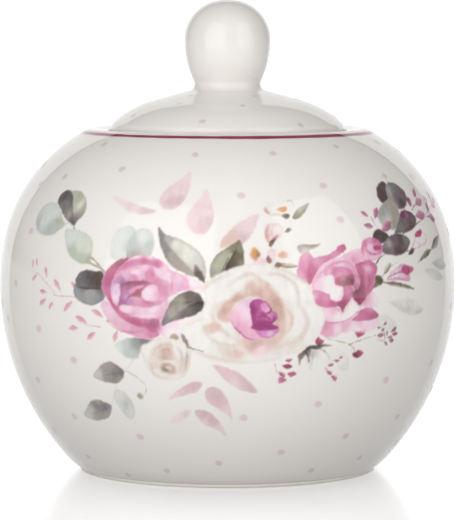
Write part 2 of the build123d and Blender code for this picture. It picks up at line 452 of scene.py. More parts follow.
class Print:
    """Ink laid wash by wash on points of the wall: s round the belly and t up the wall, in mm."""

    def __init__(self, s, t):
        self.s, self.t = s, t
        self.rgb = np.tile(np.array(PAPER, float), (len(s), 1))
        self.cover = np.zeros(len(s))
        # how far an outline wanders, where a wash dries paler, and the tooth that breaks up deep ink
        self.rough = 0.26 * (value_noise(s, t, 0.7, 3) - 0.5)
        self.bloom = value_noise(s, t, 2.3, 5) * 0.65 + value_noise(s, t, 0.9, 7) * 0.35
        fine, streaky = value_noise(s, t, 0.3, 11), value_noise(s, t * 0.4, 0.8, 13)
        self.grain = 0.03 * (fine - 0.5) + 0.04 * (streaky - 0.5)

    def near(self, low, high, margin):
        """Which points lie in a box with a margin round it."""
        keep = (self.s > low[0] - margin) & (self.s < high[0] + margin)
        return np.flatnonzero(keep & (self.t > low[1] - margin) & (self.t < high[1] + margin))

    def lay(self, at, colour, cover):
        """Lay ink of this colour over what is there; the deeper the ink, the more its grain shows."""
        paper = np.array(PAPER, float)
        tooth = self.grain[at] * (0.7 + 4.0 * (1.0 - colour.mean(1) / paper.mean()))
        colour = paper * (colour / paper) ** INK_LOAD * (1.0 + tooth)[:, None]
        self.rgb[at] += (colour - self.rgb[at]) * cover[:, None]
        self.cover[at] = np.maximum(self.cover[at], cover)

    def pools(self, at, tones):
        """Colour that blends smoothly between tones, each (ink, s, t)."""
        total, mix = 0.0, 0.0
        for ink, s, t in tones:
            gap = (self.s[at] - s) ** 2 + (self.t[at] - t) ** 2
            weight = 1.0 / (gap + 0.5) ** 1.6
            total = total + weight
            mix = mix + weight[:, None] * np.array(INKS[ink], float)
        return mix / total[:, None]

    def petal(self, outline, tones, rim=None, soft=0.26, strength=1.0, bloom=0.16, rim_width=0.3,
              rim_share=0.6):
        """A wash with a soft outline, pools of colour, and pigment gathered at its rim."""
        loop = spline(outline, closed=True)
        at = self.near(loop.min(0), loop.max(0), soft)
        if not len(at):
            return
        s, t = self.s[at], self.t[at]
        gap, _ = curve_distance(s, t, np.vstack([loop, loop[:1]]))
        depth = np.where(inside_loop(s, t, loop), gap, -gap) + self.rough[at]
        colour = self.pools(at, tones)
        colour += (np.array(PAPER) - colour) * (bloom * self.bloom[at])[:, None]
        if rim:
            edge = np.exp(-np.maximum(depth, 0) / rim_width)[:, None] * rim_share
            colour += (np.array(INKS[rim], float) - colour) * edge
        self.lay(at, colour, smooth_step(-soft, soft, depth) * strength)

    def stroke(self, points, width, ink, strength=0.9, taper=0.5):
        """A brush line that thins from its start to its end."""
        line = spline(points)
        at = self.near(line.min(0), line.max(0), width + 0.3)
        if not len(at):
            return
        gap, along = curve_distance(self.s[at], self.t[at], line)
        half = 0.5 * width * (1 - taper * along)
        colour = np.tile(np.array(INKS[ink], float), (len(at), 1))
        self.lay(at, colour, smooth_step(0.16, -0.16, gap - half + self.rough[at]) * strength)

    def fold(self, points, width, ink, strength=0.7, soft=0.4):
        """A soft line, widest at its middle, where one petal lies over another."""
        line = spline(points)
        at = self.near(line.min(0), line.max(0), width + soft)
        if not len(at):
            return
        gap, along = curve_distance(self.s[at], self.t[at], line)
        half = 0.5 * width * np.sin(np.pi * np.clip(along, 0.02, 0.98)) ** 0.7
        colour = np.tile(np.array(INKS[ink], float), (len(at), 1))
        fade = np.sin(np.pi * np.clip(along, 0.02, 0.98)) ** 0.4
        self.lay(at, colour, smooth_step(soft, -0.5 * soft, gap - half + self.rough[at]) * fade * strength)

    def leaf(self, base, tip, half_width, near_ink, far_ink, bow=0.0, round_end=1.0, fat_end=0.0,
             strength=1.0, split=0.0, dark_foot=None, soft=0.22):
        """A leaf of two halves: near_ink lies to the right of the run from base to tip."""
        base, tip = np.array(base, float), np.array(tip, float)
        run = tip - base
        length = np.hypot(*run)
        axis = run / length
        reach = half_width + abs(bow) + 0.4
        at = self.near(np.minimum(base, tip), np.maximum(base, tip), reach)
        if not len(at):
            return
        off_s, off_t = self.s[at] - base[0], self.t[at] - base[1]
        u = (off_s * axis[0] + off_t * axis[1]) / length
        v = off_t * axis[0] - off_s * axis[1]
        inside = np.clip(u, 1e-6, 1 - 1e-6)
        v = v - bow * 4 * inside * (1 - inside)
        lean = np.clip(inside ** (2.0 ** -fat_end), 0, 1)
        half = half_width * np.sin(np.pi * lean) ** (1.0 / round_end)
        ends = np.minimum(u, 1 - u) * length
        depth = np.minimum(half - np.abs(v), ends + 0.05 * half_width) + self.rough[at]
        side = smooth_step(-0.5, 0.5, (v - split * half) / half_width)[:, None]
        colour = np.array(INKS[near_ink], float) * (1 - side) + np.array(INKS[far_ink], float) * side
        colour += (np.array(PAPER) - colour) * (0.32 * self.bloom[at])[:, None]
        ribs = np.cos((u * length - 0.8 * np.abs(v)) * 4.4 + 3.0 * self.bloom[at]) * 0.012
        colour *= 1.0 + (ribs + 0.1 * (self.bloom[at] - 0.5))[:, None]
        if dark_foot:
            colour += (np.array(INKS[dark_foot], float) - colour) * 0.9 * smooth_step(0.5, 0.02, u)[:, None]
        self.lay(at, colour, smooth_step(-soft, soft, depth) * smooth_step(-0.12, 0.2, ends) * strength)

    def sprig(self, stem, leaves, ink, stem_ink):
        """A thin stem, which may be empty, and small leaves, each (s, t, heading in degrees, length)."""
        if stem:
            self.stroke(stem, 0.26, stem_ink, strength=0.6)
        for s, t, heading, length in leaves:
            turn = np.radians(heading)
            tip = (s + length * np.cos(turn), t + length * np.sin(turn))
            self.leaf((s, t), tip, 0.21 * length, ink, stem_ink, strength=0.85, split=0.35,
                      round_end=1.1, fat_end=-0.2, soft=0.2)


# ---------------------------------------------------------------- the spray, in mm on the wall


def pink_washes(p):
    """Pale petals that float loose above and below the bouquet."""
    p.petal([(-30.4, 23.7), (-27.2, 23.0), (-24.4, 22.2), (-21.0, 21.2), (-17.4, 20.3), (-19.8, 19.6),
             (-23.0, 19.7), (-25.6, 20.7), (-27.8, 22.0)],
            [("blush", -27.6, 22.6), ("petal_wash", -23.6, 21.0), ("wash_mauve", -19.4, 20.2)], soft=0.5,
            strength=0.7)
    p.petal([(-10.3, 30.6), (-9.8, 28.0), (-10.1, 25.0), (-11.0, 22.6), (-13.0, 21.0), (-15.4, 20.9),
             (-16.9, 22.4), (-16.6, 24.6), (-14.8, 26.8), (-12.4, 28.6)],
            [("wash_mauve", -14.8, 22.2), ("wash_mauve", -12.2, 22.8), ("petal_wash", -13.2, 25.4),
             ("petal_wash", -10.8, 26.0), ("blush", -10.6, 29.0), ("petal_wash", -16.0, 24.0)], soft=0.4,
            strength=0.75)
    p.petal([(-5.3, 26.0), (-4.0, 22.8), (-3.3, 19.6), (-3.8, 16.8), (-5.4, 15.3), (-7.4, 15.3),
             (-9.1, 16.9), (-9.6, 19.0), (-8.6, 21.2), (-6.8, 23.6)],
            [("petal_wash_deep", -5.8, 16.6), ("petal_wash", -8.2, 18.4), ("petal_wash", -5.0, 20.4),
             ("blush", -5.6, 24.0), ("wash_mauve", -4.2, 18.0)], soft=0.4, strength=0.75)
    p.petal([(7.2, 19.8), (6.7, 17.2), (5.0, 14.4), (2.6, 12.6), (0.0, 12.2), (-1.6, 12.2), (-0.6, 14.8),
             (2.6, 17.6)],
            [("tan_blush", -0.4, 12.8), ("tan_blush", 1.4, 13.6), ("petal_wash", 4.4, 16.4),
             ("petal_wash", 6.4, 18.4), ("wash_mauve", 3.6, 14.2)], soft=0.4, strength=0.8)
    p.petal([(-3.2, -14.0), (0.0, -14.6), (3.0, -16.0), (5.4, -18.2), (7.0, -20.5), (4.0, -20.1),
             (1.0, -18.7), (-1.2, -16.7)],
            [("petal_wash_deep", 0.0, -16.0), ("wash_mauve", 3.6, -17.4), ("petal_wash", 1.8, -18.2),
             ("wash_mauve", 6.0, -19.8)], soft=0.35, strength=0.82)
    p.petal([(-6.0, -18.1), (-8.4, -18.1), (-10.6, -19.2), (-12.6, -20.6), (-14.0, -22.3), (-11.0, -21.5),
             (-8.4, -20.7), (-6.6, -19.8)],
            [("wash_mauve", -7.4, -18.8), ("petal_wash_deep", -10.0, -20.2), ("petal_wash", -12.6, -21.6)],
            soft=0.35, strength=0.82)
    p.petal([(-4.7, -19.4), (-3.0, -19.1), (-1.2, -20.3), (0.2, -22.6), (0.9, -25.4), (1.1, -27.2),
             (-0.6, -25.6), (-2.6, -24.4), (-4.6, -22.8), (-5.3, -20.8)],
            [("wash_mauve", -3.4, -20.4), ("wash_mauve", -2.0, -21.8), ("petal_wash_deep", -3.4, -23.0),
             ("petal_wash", 0.0, -25.0)], soft=0.35, strength=0.82)
    p.petal([(-9.0, -25.1), (-11.0, -25.3), (-13.0, -26.3), (-14.8, -28.4), (-12.4, -28.0), (-10.2, -26.9)],
            [("petal_wash_deep", -10.8, -25.8), ("blush", -12.0, -26.6), ("blush", -13.4, -27.4)],
            soft=0.45, strength=0.55)
    p.petal([(-7.9, -25.2), (-5.8, -24.9), (-3.6, -26.1), (-1.8, -28.4), (-0.3, -31.6), (-2.6, -30.0),
             (-5.4, -28.8), (-7.2, -27.0)],
            [("wash_mauve", -6.2, -26.0), ("wash_mauve", -4.4, -27.4), ("petal_wash", -5.6, -28.0),
             ("petal_wash", -1.8, -30.0)], soft=0.35, strength=0.82)


def left_leaves(p):
    """Eucalyptus to the left of the bouquet, and its stems."""
    p.stroke([(-42.8, 16.4), (-41.0, 16.6), (-39.2, 15.4), (-36.6, 12.8)], 0.35, "stone_light", 0.9)
    p.stroke([(-32.9, 9.4), (-31.2, 8.4), (-29.8, 7.2), (-28.4, 5.8)], 0.4, "twig", 0.7)
    p.stroke([(-32.8, 8.0), (-30.6, 7.2), (-28.8, 6.4), (-28.0, 5.6)], 0.4, "twig", 0.7)
    p.petal([(-42.6, 16.2), (-44.4, 14.6), (-46.4, 13.6), (-49.0, 13.4), (-52.0, 13.9), (-54.0, 15.4),
             (-54.9, 17.4), (-54.3, 19.4), (-52.4, 20.9), (-49.6, 21.2), (-47.0, 20.2), (-44.6, 18.2),
             (-43.4, 17.0)],
            [("mist", -50, 18.6), ("mist_shade", -48, 14.3), ("mist_shade", -53.4, 16.0),
             ("sage", -45.4, 15.4), ("mist", -47.4, 19.0), ("mist", -51.4, 16.6)], rim="mist_shade",
            rim_share=0.4, soft=0.35)
    p.fold([(-42.6, 16.3), (-45.2, 16.9), (-47.8, 17.2)], 0.7, "olive_light", 0.5, 0.6)
    p.petal([(-44.6, 24.1), (-42.4, 24.6), (-40.0, 23.8), (-38.0, 22.2), (-37.2, 20.2), (-37.6, 18.4),
             (-38.8, 17.2), (-39.4, 16.2), (-41.4, 18.2), (-43.0, 21.6)],
            [("olive_light", -41.0, 22.8), ("stone_light", -39.6, 21.2), ("stone", -38.2, 18.6),
             ("olive_light", -37.8, 20.6), ("slate", -39.4, 17.4), ("sage", -41.6, 20.8)], rim="stone",
            rim_share=0.4, soft=0.32)
    p.petal([(-39.5, 16.3), (-42.0, 17.1), (-44.0, 18.3), (-46.0, 19.9), (-47.8, 20.9), (-48.6, 22.2),
             (-48.1, 23.8), (-46.4, 24.6), (-44.4, 24.1), (-43.1, 22.6), (-42.0, 20.4), (-40.8, 18.2)],
            [("slate_dark", -46.4, 23.2), ("slate", -44.0, 21.4), ("slate", -45.6, 20.8),
             ("stone", -42.4, 18.4), ("slate_dark", -43.8, 23.2), ("slate_dark", -40.4, 17.0)], rim="slate",
            rim_share=0.4, soft=0.3)
    p.fold([(-39.4, 16.4), (-40.8, 18.6), (-42.2, 21.0), (-43.4, 23.2)], 0.2, "umber", 0.45, 0.3)
    p.stroke([(-39.5, 16.4), (-39.0, 15.4), (-38.2, 14.8)], 0.3, "stone", 0.7)
    p.petal([(-41.8, 15.0), (-38.6, 15.2), (-35.4, 14.6), (-33.2, 13.4), (-32.4, 11.4), (-32.6, 9.4),
             (-32.8, 7.9), (-35.2, 7.7), (-37.8, 8.6), (-39.8, 10.2), (-41.0, 12.4)],
            [("mist", -39.4, 13.6), ("sage_pale", -36.0, 12.0), ("sage", -35.0, 8.8), ("sage", -38.6, 10.0),
             ("sage_pale", -33.8, 11.0), ("olive_light", -33.2, 8.6)], rim="sage", rim_share=0.35,
            soft=0.35)
    p.petal([(-26.8, 9.2), (-27.6, 11.4), (-27.2, 14.2), (-25.6, 16.2), (-23.0, 16.6), (-21.4, 14.8),
             (-21.6, 11.4), (-22.6, 9.0)],
            [("mist", -25, 14), ("mist", -25.8, 11), ("mist_shade", -22.6, 11.6), ("sage_pale", -24, 10)],
            rim="mist_shade", rim_share=0.35, soft=0.4, strength=0.85)
    p.petal([(-22.8, 9.2), (-23.4, 12.0), (-22.4, 14.8), (-20.2, 16.2), (-18.0, 15.6), (-16.9, 13.2),
             (-17.2, 10.6), (-18.8, 8.8)],
            [("mist_shade", -22.2, 12.0), ("mist", -19.4, 14.2), ("mist_shade", -18.0, 12.0),
             ("stone", -21.6, 10.4)], rim="mist_shade", rim_share=0.4, soft=0.4, strength=0.85)
    p.petal([(-36.7, 3.2), (-37.0, 1.2), (-35.7, -0.4), (-33.2, -1.3), (-30.6, -1.0), (-28.6, 0.2),
             (-28.4, 2.2), (-32.0, 2.8), (-35.0, 2.8)],
            [("slate_blue", -36.0, 1.2), ("ash", -33.4, 1.0), ("slate_blue", -30.2, 0.4),
             ("slate", -34.2, 2.4), ("ash", -31.8, 1.4), ("slate", -29.4, 1.8)], rim="slate", rim_share=0.5,
            soft=0.28)
    p.petal([(-28.8, 5.8), (-31.0, 6.3), (-33.2, 6.4), (-35.4, 5.8), (-36.5, 4.2), (-36.3, 2.9),
             (-34.6, 2.4), (-32.0, 2.4), (-28.6, 2.4)],
            [("umber", -30.6, 4.0), ("slate_dark", -32.6, 5.4), ("slate", -35.2, 4.6),
             ("slate", -34.4, 3.4), ("slate_dark", -32.0, 3.0)], rim="slate_dark", rim_share=0.4, soft=0.28)
    p.fold([(-36.2, 2.5), (-33.2, 2.3), (-29.4, 2.5)], 0.25, "umber_dark", 0.6, 0.3)
    p.petal([(-26.6, -10.0), (-24.0, -8.7), (-21.6, -8.1), (-18.4, -8.2), (-16.2, -8.8), (-18.6, -9.8),
             (-20.0, -11.4), (-21.2, -13.0), (-24.0, -12.4)],
            [("slate_blue", -20.8, -9.2), ("plum_grey", -19.4, -8.5), ("mist", -25.4, -10.4),
             ("mist_shade", -21.8, -12.0), ("mist_shade", -23.2, -9.8)], soft=0.35, strength=0.9)
    p.stroke([(-21.4, -12.6), (-24.0, -15.6), (-24.8, -16.2), (-26.8, -18.8), (-28.0, -20.8),
              (-29.2, -23.2), (-30.2, -24.8)], 0.26, "stone_light", 0.9, 0.2)
    p.stroke([(-24.2, -15.8), (-21.6, -17.2), (-19.6, -19.2), (-19.9, -21.3)], 0.32, "mist_shade", 0.7)
    p.petal([(-24.7, -16.1), (-26.4, -14.6), (-28.4, -13.9), (-30.4, -14.6), (-32.0, -16.0), (-33.5, -17.6),
             (-32.0, -18.5), (-29.6, -18.9), (-27.2, -18.9), (-25.6, -18.0)],
            [("slate", -25.8, -16.2), ("stone", -28.4, -15.0), ("stone", -29.0, -17.6),
             ("ash_pale", -32.4, -17.2), ("slate", -27.2, -16.4), ("stone", -26.2, -18.2)], rim="stone",
            rim_share=0.3, soft=0.3)
    p.fold([(-24.8, -16.2), (-27.6, -16.8), (-30.4, -17.2)], 0.2, "slate", 0.45, 0.3)
    p.petal([(-28.2, -21.0), (-26.8, -20.5), (-24.8, -21.8), (-23.6, -24.4), (-24.0, -26.8), (-25.2, -28.0),
             (-26.5, -27.3), (-27.4, -25.6), (-28.5, -23.6)],
            [("stone_light", -27.2, -22.2), ("mist_shade", -26.0, -24.2), ("stone_light", -24.4, -26.0),
             ("mist", -27.6, -24.6)], rim="mist_shade", rim_share=0.3, soft=0.3, strength=0.85)
    p.petal([(-30.1, -24.8), (-32.0, -23.9), (-34.4, -23.5), (-36.4, -24.2), (-38.4, -26.0), (-40.1, -27.7),
             (-38.8, -28.8), (-36.0, -29.0), (-33.2, -28.4), (-31.2, -27.2)],
            [("slate", -32.6, -25.2), ("slate", -34.4, -25.2), ("stone", -33.8, -24.2),
             ("ash_pale", -38.8, -27.6), ("stone", -35.4, -27.4), ("stone", -32.2, -27.0),
             ("mist_shade", -37.0, -26.6)], rim="stone", rim_share=0.3, soft=0.3)
    p.fold([(-30.4, -25.0), (-33.4, -26.2), (-36.8, -27.4)], 0.2, "slate", 0.45, 0.3)
    p.petal([(-22.1, -21.6), (-21.4, -21.0), (-20.7, -21.6), (-20.8, -22.4), (-21.5, -22.6),
             (-22.0, -22.2)],
            [("twig", -21.6, -22.0), ("olive_light", -21.2, -21.4)], soft=0.3)


def left_sprigs(p):
    """Fine stems with small pink leaves, at the far left."""
    p.stroke([(-35.8, 0.1), (-38.4, 0.3), (-40.6, 0.2), (-43.4, 0.4), (-45.2, 1.6)], 0.22, "berry_pale",
             0.6)
    p.stroke([(-43.0, 0.8), (-46.4, 3.0), (-48.8, 4.4), (-50.2, 4.6)], 0.2, "berry_pale", 0.45)
    p.stroke([(-40.4, 0.2), (-41.2, 1.4)], 0.2, "berry_pale", 0.6)
    p.stroke([(-29.8, -6.1), (-32.4, -5.9), (-34.2, -5.6)], 0.2, "berry_pale", 0.6)
    p.sprig([],
            [(-51.8, 5.6, 102, 2.3), (-50.1, 6.2, 112, 2.0), (-49.8, 4.3, 212, 2.5), (-46.0, 3.8, 110, 2.8),
             (-41.1, 1.3, 134, 3.5), (-45.8, 0.6, 174, 2.8), (-46.0, -0.8, 210, 3.2),
             (-43.6, -1.3, 226, 2.5), (-37.3, -0.7, 221, 3.8), (-36.8, 2.0, 125, 1.9),
             (-33.3, -5.5, 158, 3.7), (-35.9, -6.7, 187, 3.3), (-31.1, -7.3, 215, 3.3),
             (-28.8, -3.9, 155, 3.6), (-25.2, -6.4, 250, 3.2), (-26.2, -4.8, 175, 2.0)], "berry_pale",
            "blush")


def olive_leaves(p):
    """The grey and olive leaves behind the left and the cream rose."""
    p.petal([(-16.2, 16.6), (-14.4, 15.0), (-11.4, 14.1), (-8.4, 12.6), (-6.0, 10.6), (-4.8, 7.8),
             (-5.1, 5.0), (-6.8, 5.6), (-9.2, 6.4), (-12.0, 7.8), (-14.2, 10.2), (-15.5, 13.4)],
            [("stone_light", -8.6, 11.4), ("stone_light", -11.6, 12.8), ("ash_pale", -6.2, 9.4),
             ("slate", -15.4, 15.0), ("stone", -13.4, 10.6), ("stone", -10.4, 8.2), ("ash", -13.4, 14.0),
             ("stone_light", -9.4, 9.6)], rim="stone", rim_share=0.55, soft=0.28)
    p.petal([(-16.1, 16.4), (-13.8, 13.0), (-11.2, 10.2), (-8.8, 8.0), (-6.8, 5.8), (-9.2, 6.4),
             (-12.0, 7.8), (-14.2, 10.2), (-15.5, 13.4)],
            [("slate", -15.0, 13.4), ("stone", -12.8, 10.4), ("slate", -13.6, 11.0), ("stone", -9.4, 7.4)],
            soft=0.3, strength=0.85)
    p.petal([(-5.0, 4.4), (-6.3, 5.2), (-7.4, 6.4), (-7.2, 8.4), (-6.4, 7.6), (-5.4, 6.2)],
            [("umber", -5.6, 5.4), ("calyx", -6.8, 7.6), ("umber", -6.4, 6.6)], soft=0.28)
    p.petal([(-3.0, 4.0), (-3.9, 6.8), (-3.3, 9.2), (-1.5, 11.2), (0.6, 12.4), (2.6, 13.7), (2.0, 11.6),
             (0.6, 9.2), (-0.4, 7.0), (-1.6, 5.0)],
            [("olive_light", -2.4, 8.0), ("olive", -3.0, 5.0), ("olive_light", -0.6, 9.8),
             ("olive", 1.6, 12.6), ("stone", -3.2, 7.0)], rim="olive_dark", rim_share=0.45, soft=0.28)
    p.petal([(2.6, 13.7), (3.5, 12.0), (3.7, 9.4), (3.4, 7.8), (1.4, 7.2), (-0.4, 6.4), (-1.7, 5.0),
             (-1.0, 7.4), (0.0, 9.4), (1.4, 11.6)],
            [("umber", 0.4, 8.0), ("olive_dark", 2.0, 9.8), ("olive", 3.0, 12.0), ("olive", 3.2, 8.6),
             ("umber", 1.2, 9.8)], rim="olive_dark", rim_share=0.45, soft=0.28)
    p.fold([(-1.4, 5.8), (-0.4, 8.2), (0.6, 10.2), (2.0, 12.4)], 0.18, "stone_light", 0.6, 0.25)


def left_rose(p):
    """A full, cupped pink rose seen a little from the side."""
    p.petal([(-29.3, -0.4), (-28.2, -3.6), (-25.4, -6.0), (-21.8, -7.6), (-18.4, -8.3), (-15.6, -7.6),
             (-15.0, -5.4), (-18.0, -3.4), (-26.0, -1.0)],
            [("pink_pale", -27.4, -3.0), ("pink_light", -24.6, -5.6), ("pink_soft", -19.4, -7.4),
             ("pink", -17.0, -6.6), ("rose", -16.8, -5.4)], rim="pink_soft")
    p.petal([(-16.6, -5.0), (-14.6, -7.4), (-12.0, -8.0), (-9.4, -7.0), (-6.8, -4.0), (-9.6, -2.4),
             (-14.8, -3.4)],
            [("pink_white", -9.4, -5.6), ("pink_pale", -12.4, -4.6), ("pink_light", -15.4, -5.8),
             ("pink_white", -12.4, -7.0)], rim="pink_light", rim_share=0.4)
    p.petal([(-14.6, 7.6), (-12.0, 6.9), (-9.0, 5.8), (-6.4, 4.6), (-5.6, 3.4), (-7.6, 2.8), (-10.4, 2.4),
             (-13.4, 1.2), (-14.6, 3.4)],
            [("pink_white", -7.6, 4.6), ("pink_pale", -10.6, 5.4), ("pink_soft", -9.4, 3.2),
             ("pink_light", -12.8, 6.2), ("pink_light", -12.6, 3.6)], rim="pink_light", rim_share=0.4)
    p.petal([(-22.4, 9.2), (-24.6, 9.2), (-26.9, 7.7), (-28.5, 5.9), (-29.3, 3.8), (-29.1, 2.2),
             (-27.6, 0.2), (-25.4, -2.6), (-21.6, -5.2), (-17.4, -6.0), (-15.4, -5.2), (-16.0, -2.0),
             (-22.0, 0.0), (-24.6, 4.0)],
            [("rose_deep", -28.0, 4.0), ("crimson", -26.6, 6.8), ("heart", -24.9, 8.4),
             ("rose", -28.6, 2.4), ("rose_deep", -26.6, -0.6), ("pink", -23.8, -2.6),
             ("rose_deep", -20.6, -5.2), ("pink_soft", -18.6, -3.4), ("mauve_deep", -16.8, -5.2)],
            rim="pink_light", rim_share=0.5)
    p.petal([(-26.4, 4.2), (-25.5, 6.4), (-24.0, 8.2), (-21.5, 9.8), (-18.4, 10.2), (-15.4, 9.3),
             (-13.0, 7.8), (-14.2, 6.6), (-17.2, 7.0), (-22.0, 7.0), (-24.4, 5.6), (-25.4, 3.8)],
            [("pink_soft", -25.2, 5.8), ("pink_pale", -20.8, 9.6), ("pink_pale", -17.6, 9.9),
             ("rose", -18.6, 8.8), ("pink", -22.8, 8.0), ("rose", -15.8, 8.4), ("pink", -20.6, 7.8),
             ("pink_pale", -14.0, 7.4)], rim="pink_light", rim_share=0.5)
    p.fold([(-26.4, 3.6), (-25.4, 6.2), (-23.2, 8.0), (-19.8, 9.0), (-16.2, 8.6), (-13.6, 7.6)], 0.8,
           "rose", 0.55)
    p.petal([(-24.8, 5.2), (-23.0, 6.8), (-20.4, 7.9), (-17.8, 8.1), (-15.6, 7.5), (-13.8, 6.6),
             (-12.4, 4.6), (-12.8, 2.0), (-14.6, 0.6), (-17.4, 3.8), (-21.0, 4.4), (-24.0, 4.2)],
            [("pink_light", -22.4, 6.2), ("pink_pale", -18.8, 7.5), ("pink", -17.4, 6.4),
             ("pink_pale", -15.4, 6.6), ("pink", -15.6, 4.8), ("pink_soft", -13.6, 3.4),
             ("pink_light", -14.4, 1.4), ("pink", -19.6, 5.2)], rim="pink_soft", rim_share=0.45)
    p.petal([(-16.4, 7.2), (-14.6, 7.3), (-12.6, 6.4), (-12.2, 4.4), (-13.6, 4.6), (-15.4, 5.6)],
            [("pink_pale", -14.8, 6.6), ("pink_white", -13.4, 5.8)], soft=0.4, strength=0.85)
    p.petal([(-26.8, 3.4), (-25.4, 5.2), (-23.4, 6.2), (-21.2, 6.0), (-20.0, 5.0), (-21.4, 3.8),
             (-24.0, 3.2), (-24.6, 0.8), (-25.6, -0.8), (-26.6, 1.0)],
            [("lilac", -25.0, 4.6), ("lilac_pale", -23.0, 5.6), ("mauve", -24.0, 4.2),
             ("lilac_pale", -25.6, 2.6), ("lilac", -24.8, 0.6), ("pink", -21.0, 5.2)], rim="pink_light",
            rim_share=0.4, soft=0.35)
    p.petal([(-22.0, 6.3), (-20.6, 7.0), (-19.0, 6.6), (-18.4, 5.4), (-19.6, 4.8), (-20.4, 5.8)],
            [("pink_white", -20.6, 6.5), ("pink_light", -19.0, 5.8)], soft=0.3, strength=0.85)
    p.petal([(-18.6, 6.2), (-17.4, 7.0), (-16.2, 6.2), (-16.4, 4.8), (-17.8, 4.6)],
            [("rose", -17.2, 6.0), ("pink", -17.0, 5.0)], soft=0.4, strength=0.7)
    p.petal([(-24.9, 3.0), (-23.6, 4.1), (-20.0, 4.2), (-16.4, 4.2), (-13.6, 3.6), (-13.0, 1.2),
             (-14.6, -1.0), (-18.0, -2.0), (-22.4, -2.0), (-25.0, -1.0), (-25.4, 1.4)],
            [("mauve", -23.4, 2.4), ("lilac", -22.6, 0.6), ("mauve", -24.0, -0.4), ("rose", -19.4, 3.8),
             ("pink", -14.2, 2.6), ("pink_soft", -15.0, 0.4), ("pink", -18.4, -1.0),
             ("mauve_deep", -22.0, 3.3)], soft=0.35)
    p.petal([(-25.7, 3.6), (-24.6, 3.4), (-24.6, 0.6), (-25.2, -1.2), (-26.4, -0.2), (-26.5, 2.0)],
            [("lilac_pale", -25.6, 2.2), ("pink_white", -25.5, 0.0), ("lilac_pale", -25.4, -0.8)], soft=0.3)
    p.fold([(-24.6, 3.2), (-22.6, 3.9), (-19.4, 4.2), (-16.8, 4.2)], 0.75, "heart", 0.85, 0.3)
    p.petal([(-21.0, 2.2), (-20.2, 2.9), (-18.6, 2.8), (-18.8, 1.6), (-19.8, 1.0), (-21.2, 1.2)],
            [("heart", -19.8, 2.2), ("crimson", -19.0, 2.2)], soft=0.3)
    p.fold([(-23.2, -0.6), (-22.0, 1.0), (-20.6, 1.8), (-19.2, 2.0)], 0.45, "heart", 0.75, 0.3)
    p.petal([(-22.4, 2.3), (-20.8, 3.2), (-19.2, 3.6), (-19.0, 3.1), (-20.4, 2.7), (-21.8, 1.6)],
            [("pink", -21.2, 2.6), ("pink_soft", -19.4, 3.3)], soft=0.2, strength=0.9)
    p.petal([(-22.6, 0.4), (-21.2, 1.0), (-19.6, 0.8), (-18.4, 0.0), (-16.4, -0.4), (-17.0, -1.6),
             (-19.8, -1.6), (-22.4, -1.0)],
            [("pink_soft", -20.4, 0.2), ("pink", -18.0, -0.9), ("lilac", -22.2, -0.4)], rim="rose",
            rim_share=0.35)
    p.petal([(-19.3, 1.7), (-18.6, 3.0), (-16.9, 3.9), (-15.6, 3.4), (-15.1, 1.8), (-15.5, 0.4),
             (-17.4, 0.1), (-18.9, 0.6)],
            [("pink_white", -17.4, 2.4), ("pink_white", -17.8, 1.2), ("pink_light", -15.5, 1.6),
             ("pink_pale", -16.4, 3.4)], rim="pink", rim_share=0.45)
    p.petal([(-24.6, -1.1), (-21.6, -0.9), (-18.0, -1.1), (-15.4, -0.6), (-13.4, 0.4), (-13.2, -1.6),
             (-14.4, -3.4), (-18.0, -3.8), (-21.8, -3.4), (-24.0, -2.4)],
            [("pink_white", -22.4, -1.8), ("pink_white", -16.4, -1.4), ("pink_pale", -19.4, -2.2),
             ("pink_light", -15.0, -2.6), ("pink_soft", -21.6, -3.0)], rim="pink", rim_share=0.4)
    p.fold([(-21.4, -3.1), (-18.4, -3.2), (-15.4, -3.0)], 0.35, "pink_white", 0.8, 0.25)
    p.fold([(-23.8, -2.4), (-21.0, -3.9), (-17.6, -4.1), (-14.8, -3.4)], 0.35, "rose", 0.75, 0.3)
    p.fold([(-27.6, 0.8), (-26.0, -1.2), (-23.8, -3.4), (-20.6, -4.7), (-17.6, -5.0), (-15.2, -4.6)], 0.9,
           "crimson", 0.7, 0.45)
    p.petal([(-18.4, -5.0), (-16.4, -4.4), (-15.0, -5.0), (-15.6, -6.4), (-17.4, -6.6)],
            [("mauve_deep", -16.6, -5.0), ("rose_deep", -16.4, -6.0)], soft=0.5, strength=0.7)
    p.fold([(-27.8, -5.0), (-24.6, -6.6), (-21.4, -6.9), (-18.6, -6.4)], 0.3, "rose", 0.55, 0.35)
    p.fold([(-12.6, 6.4), (-12.2, 3.8), (-12.8, 1.6)], 0.3, "pink", 0.6, 0.35)
    p.fold([(-10.0, 5.6), (-8.8, 4.6), (-9.0, 3.0)], 0.3, "pink", 0.5, 0.4)
    p.petal([(-22.4, 9.2), (-26.9, 7.7), (-29.3, 3.8), (-29.3, -0.4), (-28.2, -3.6), (-25.4, -6.0),
             (-21.8, -7.6), (-18.4, -8.3), (-15.4, -7.4), (-13.4, -3.4), (-11.4, 1.0), (-9.0, 5.4),
             (-12.0, 6.7), (-14.6, 7.6), (-18.0, 9.0)],
            [("mauve_deep", -20.0, 0.0)], soft=0.4, strength=0.12)


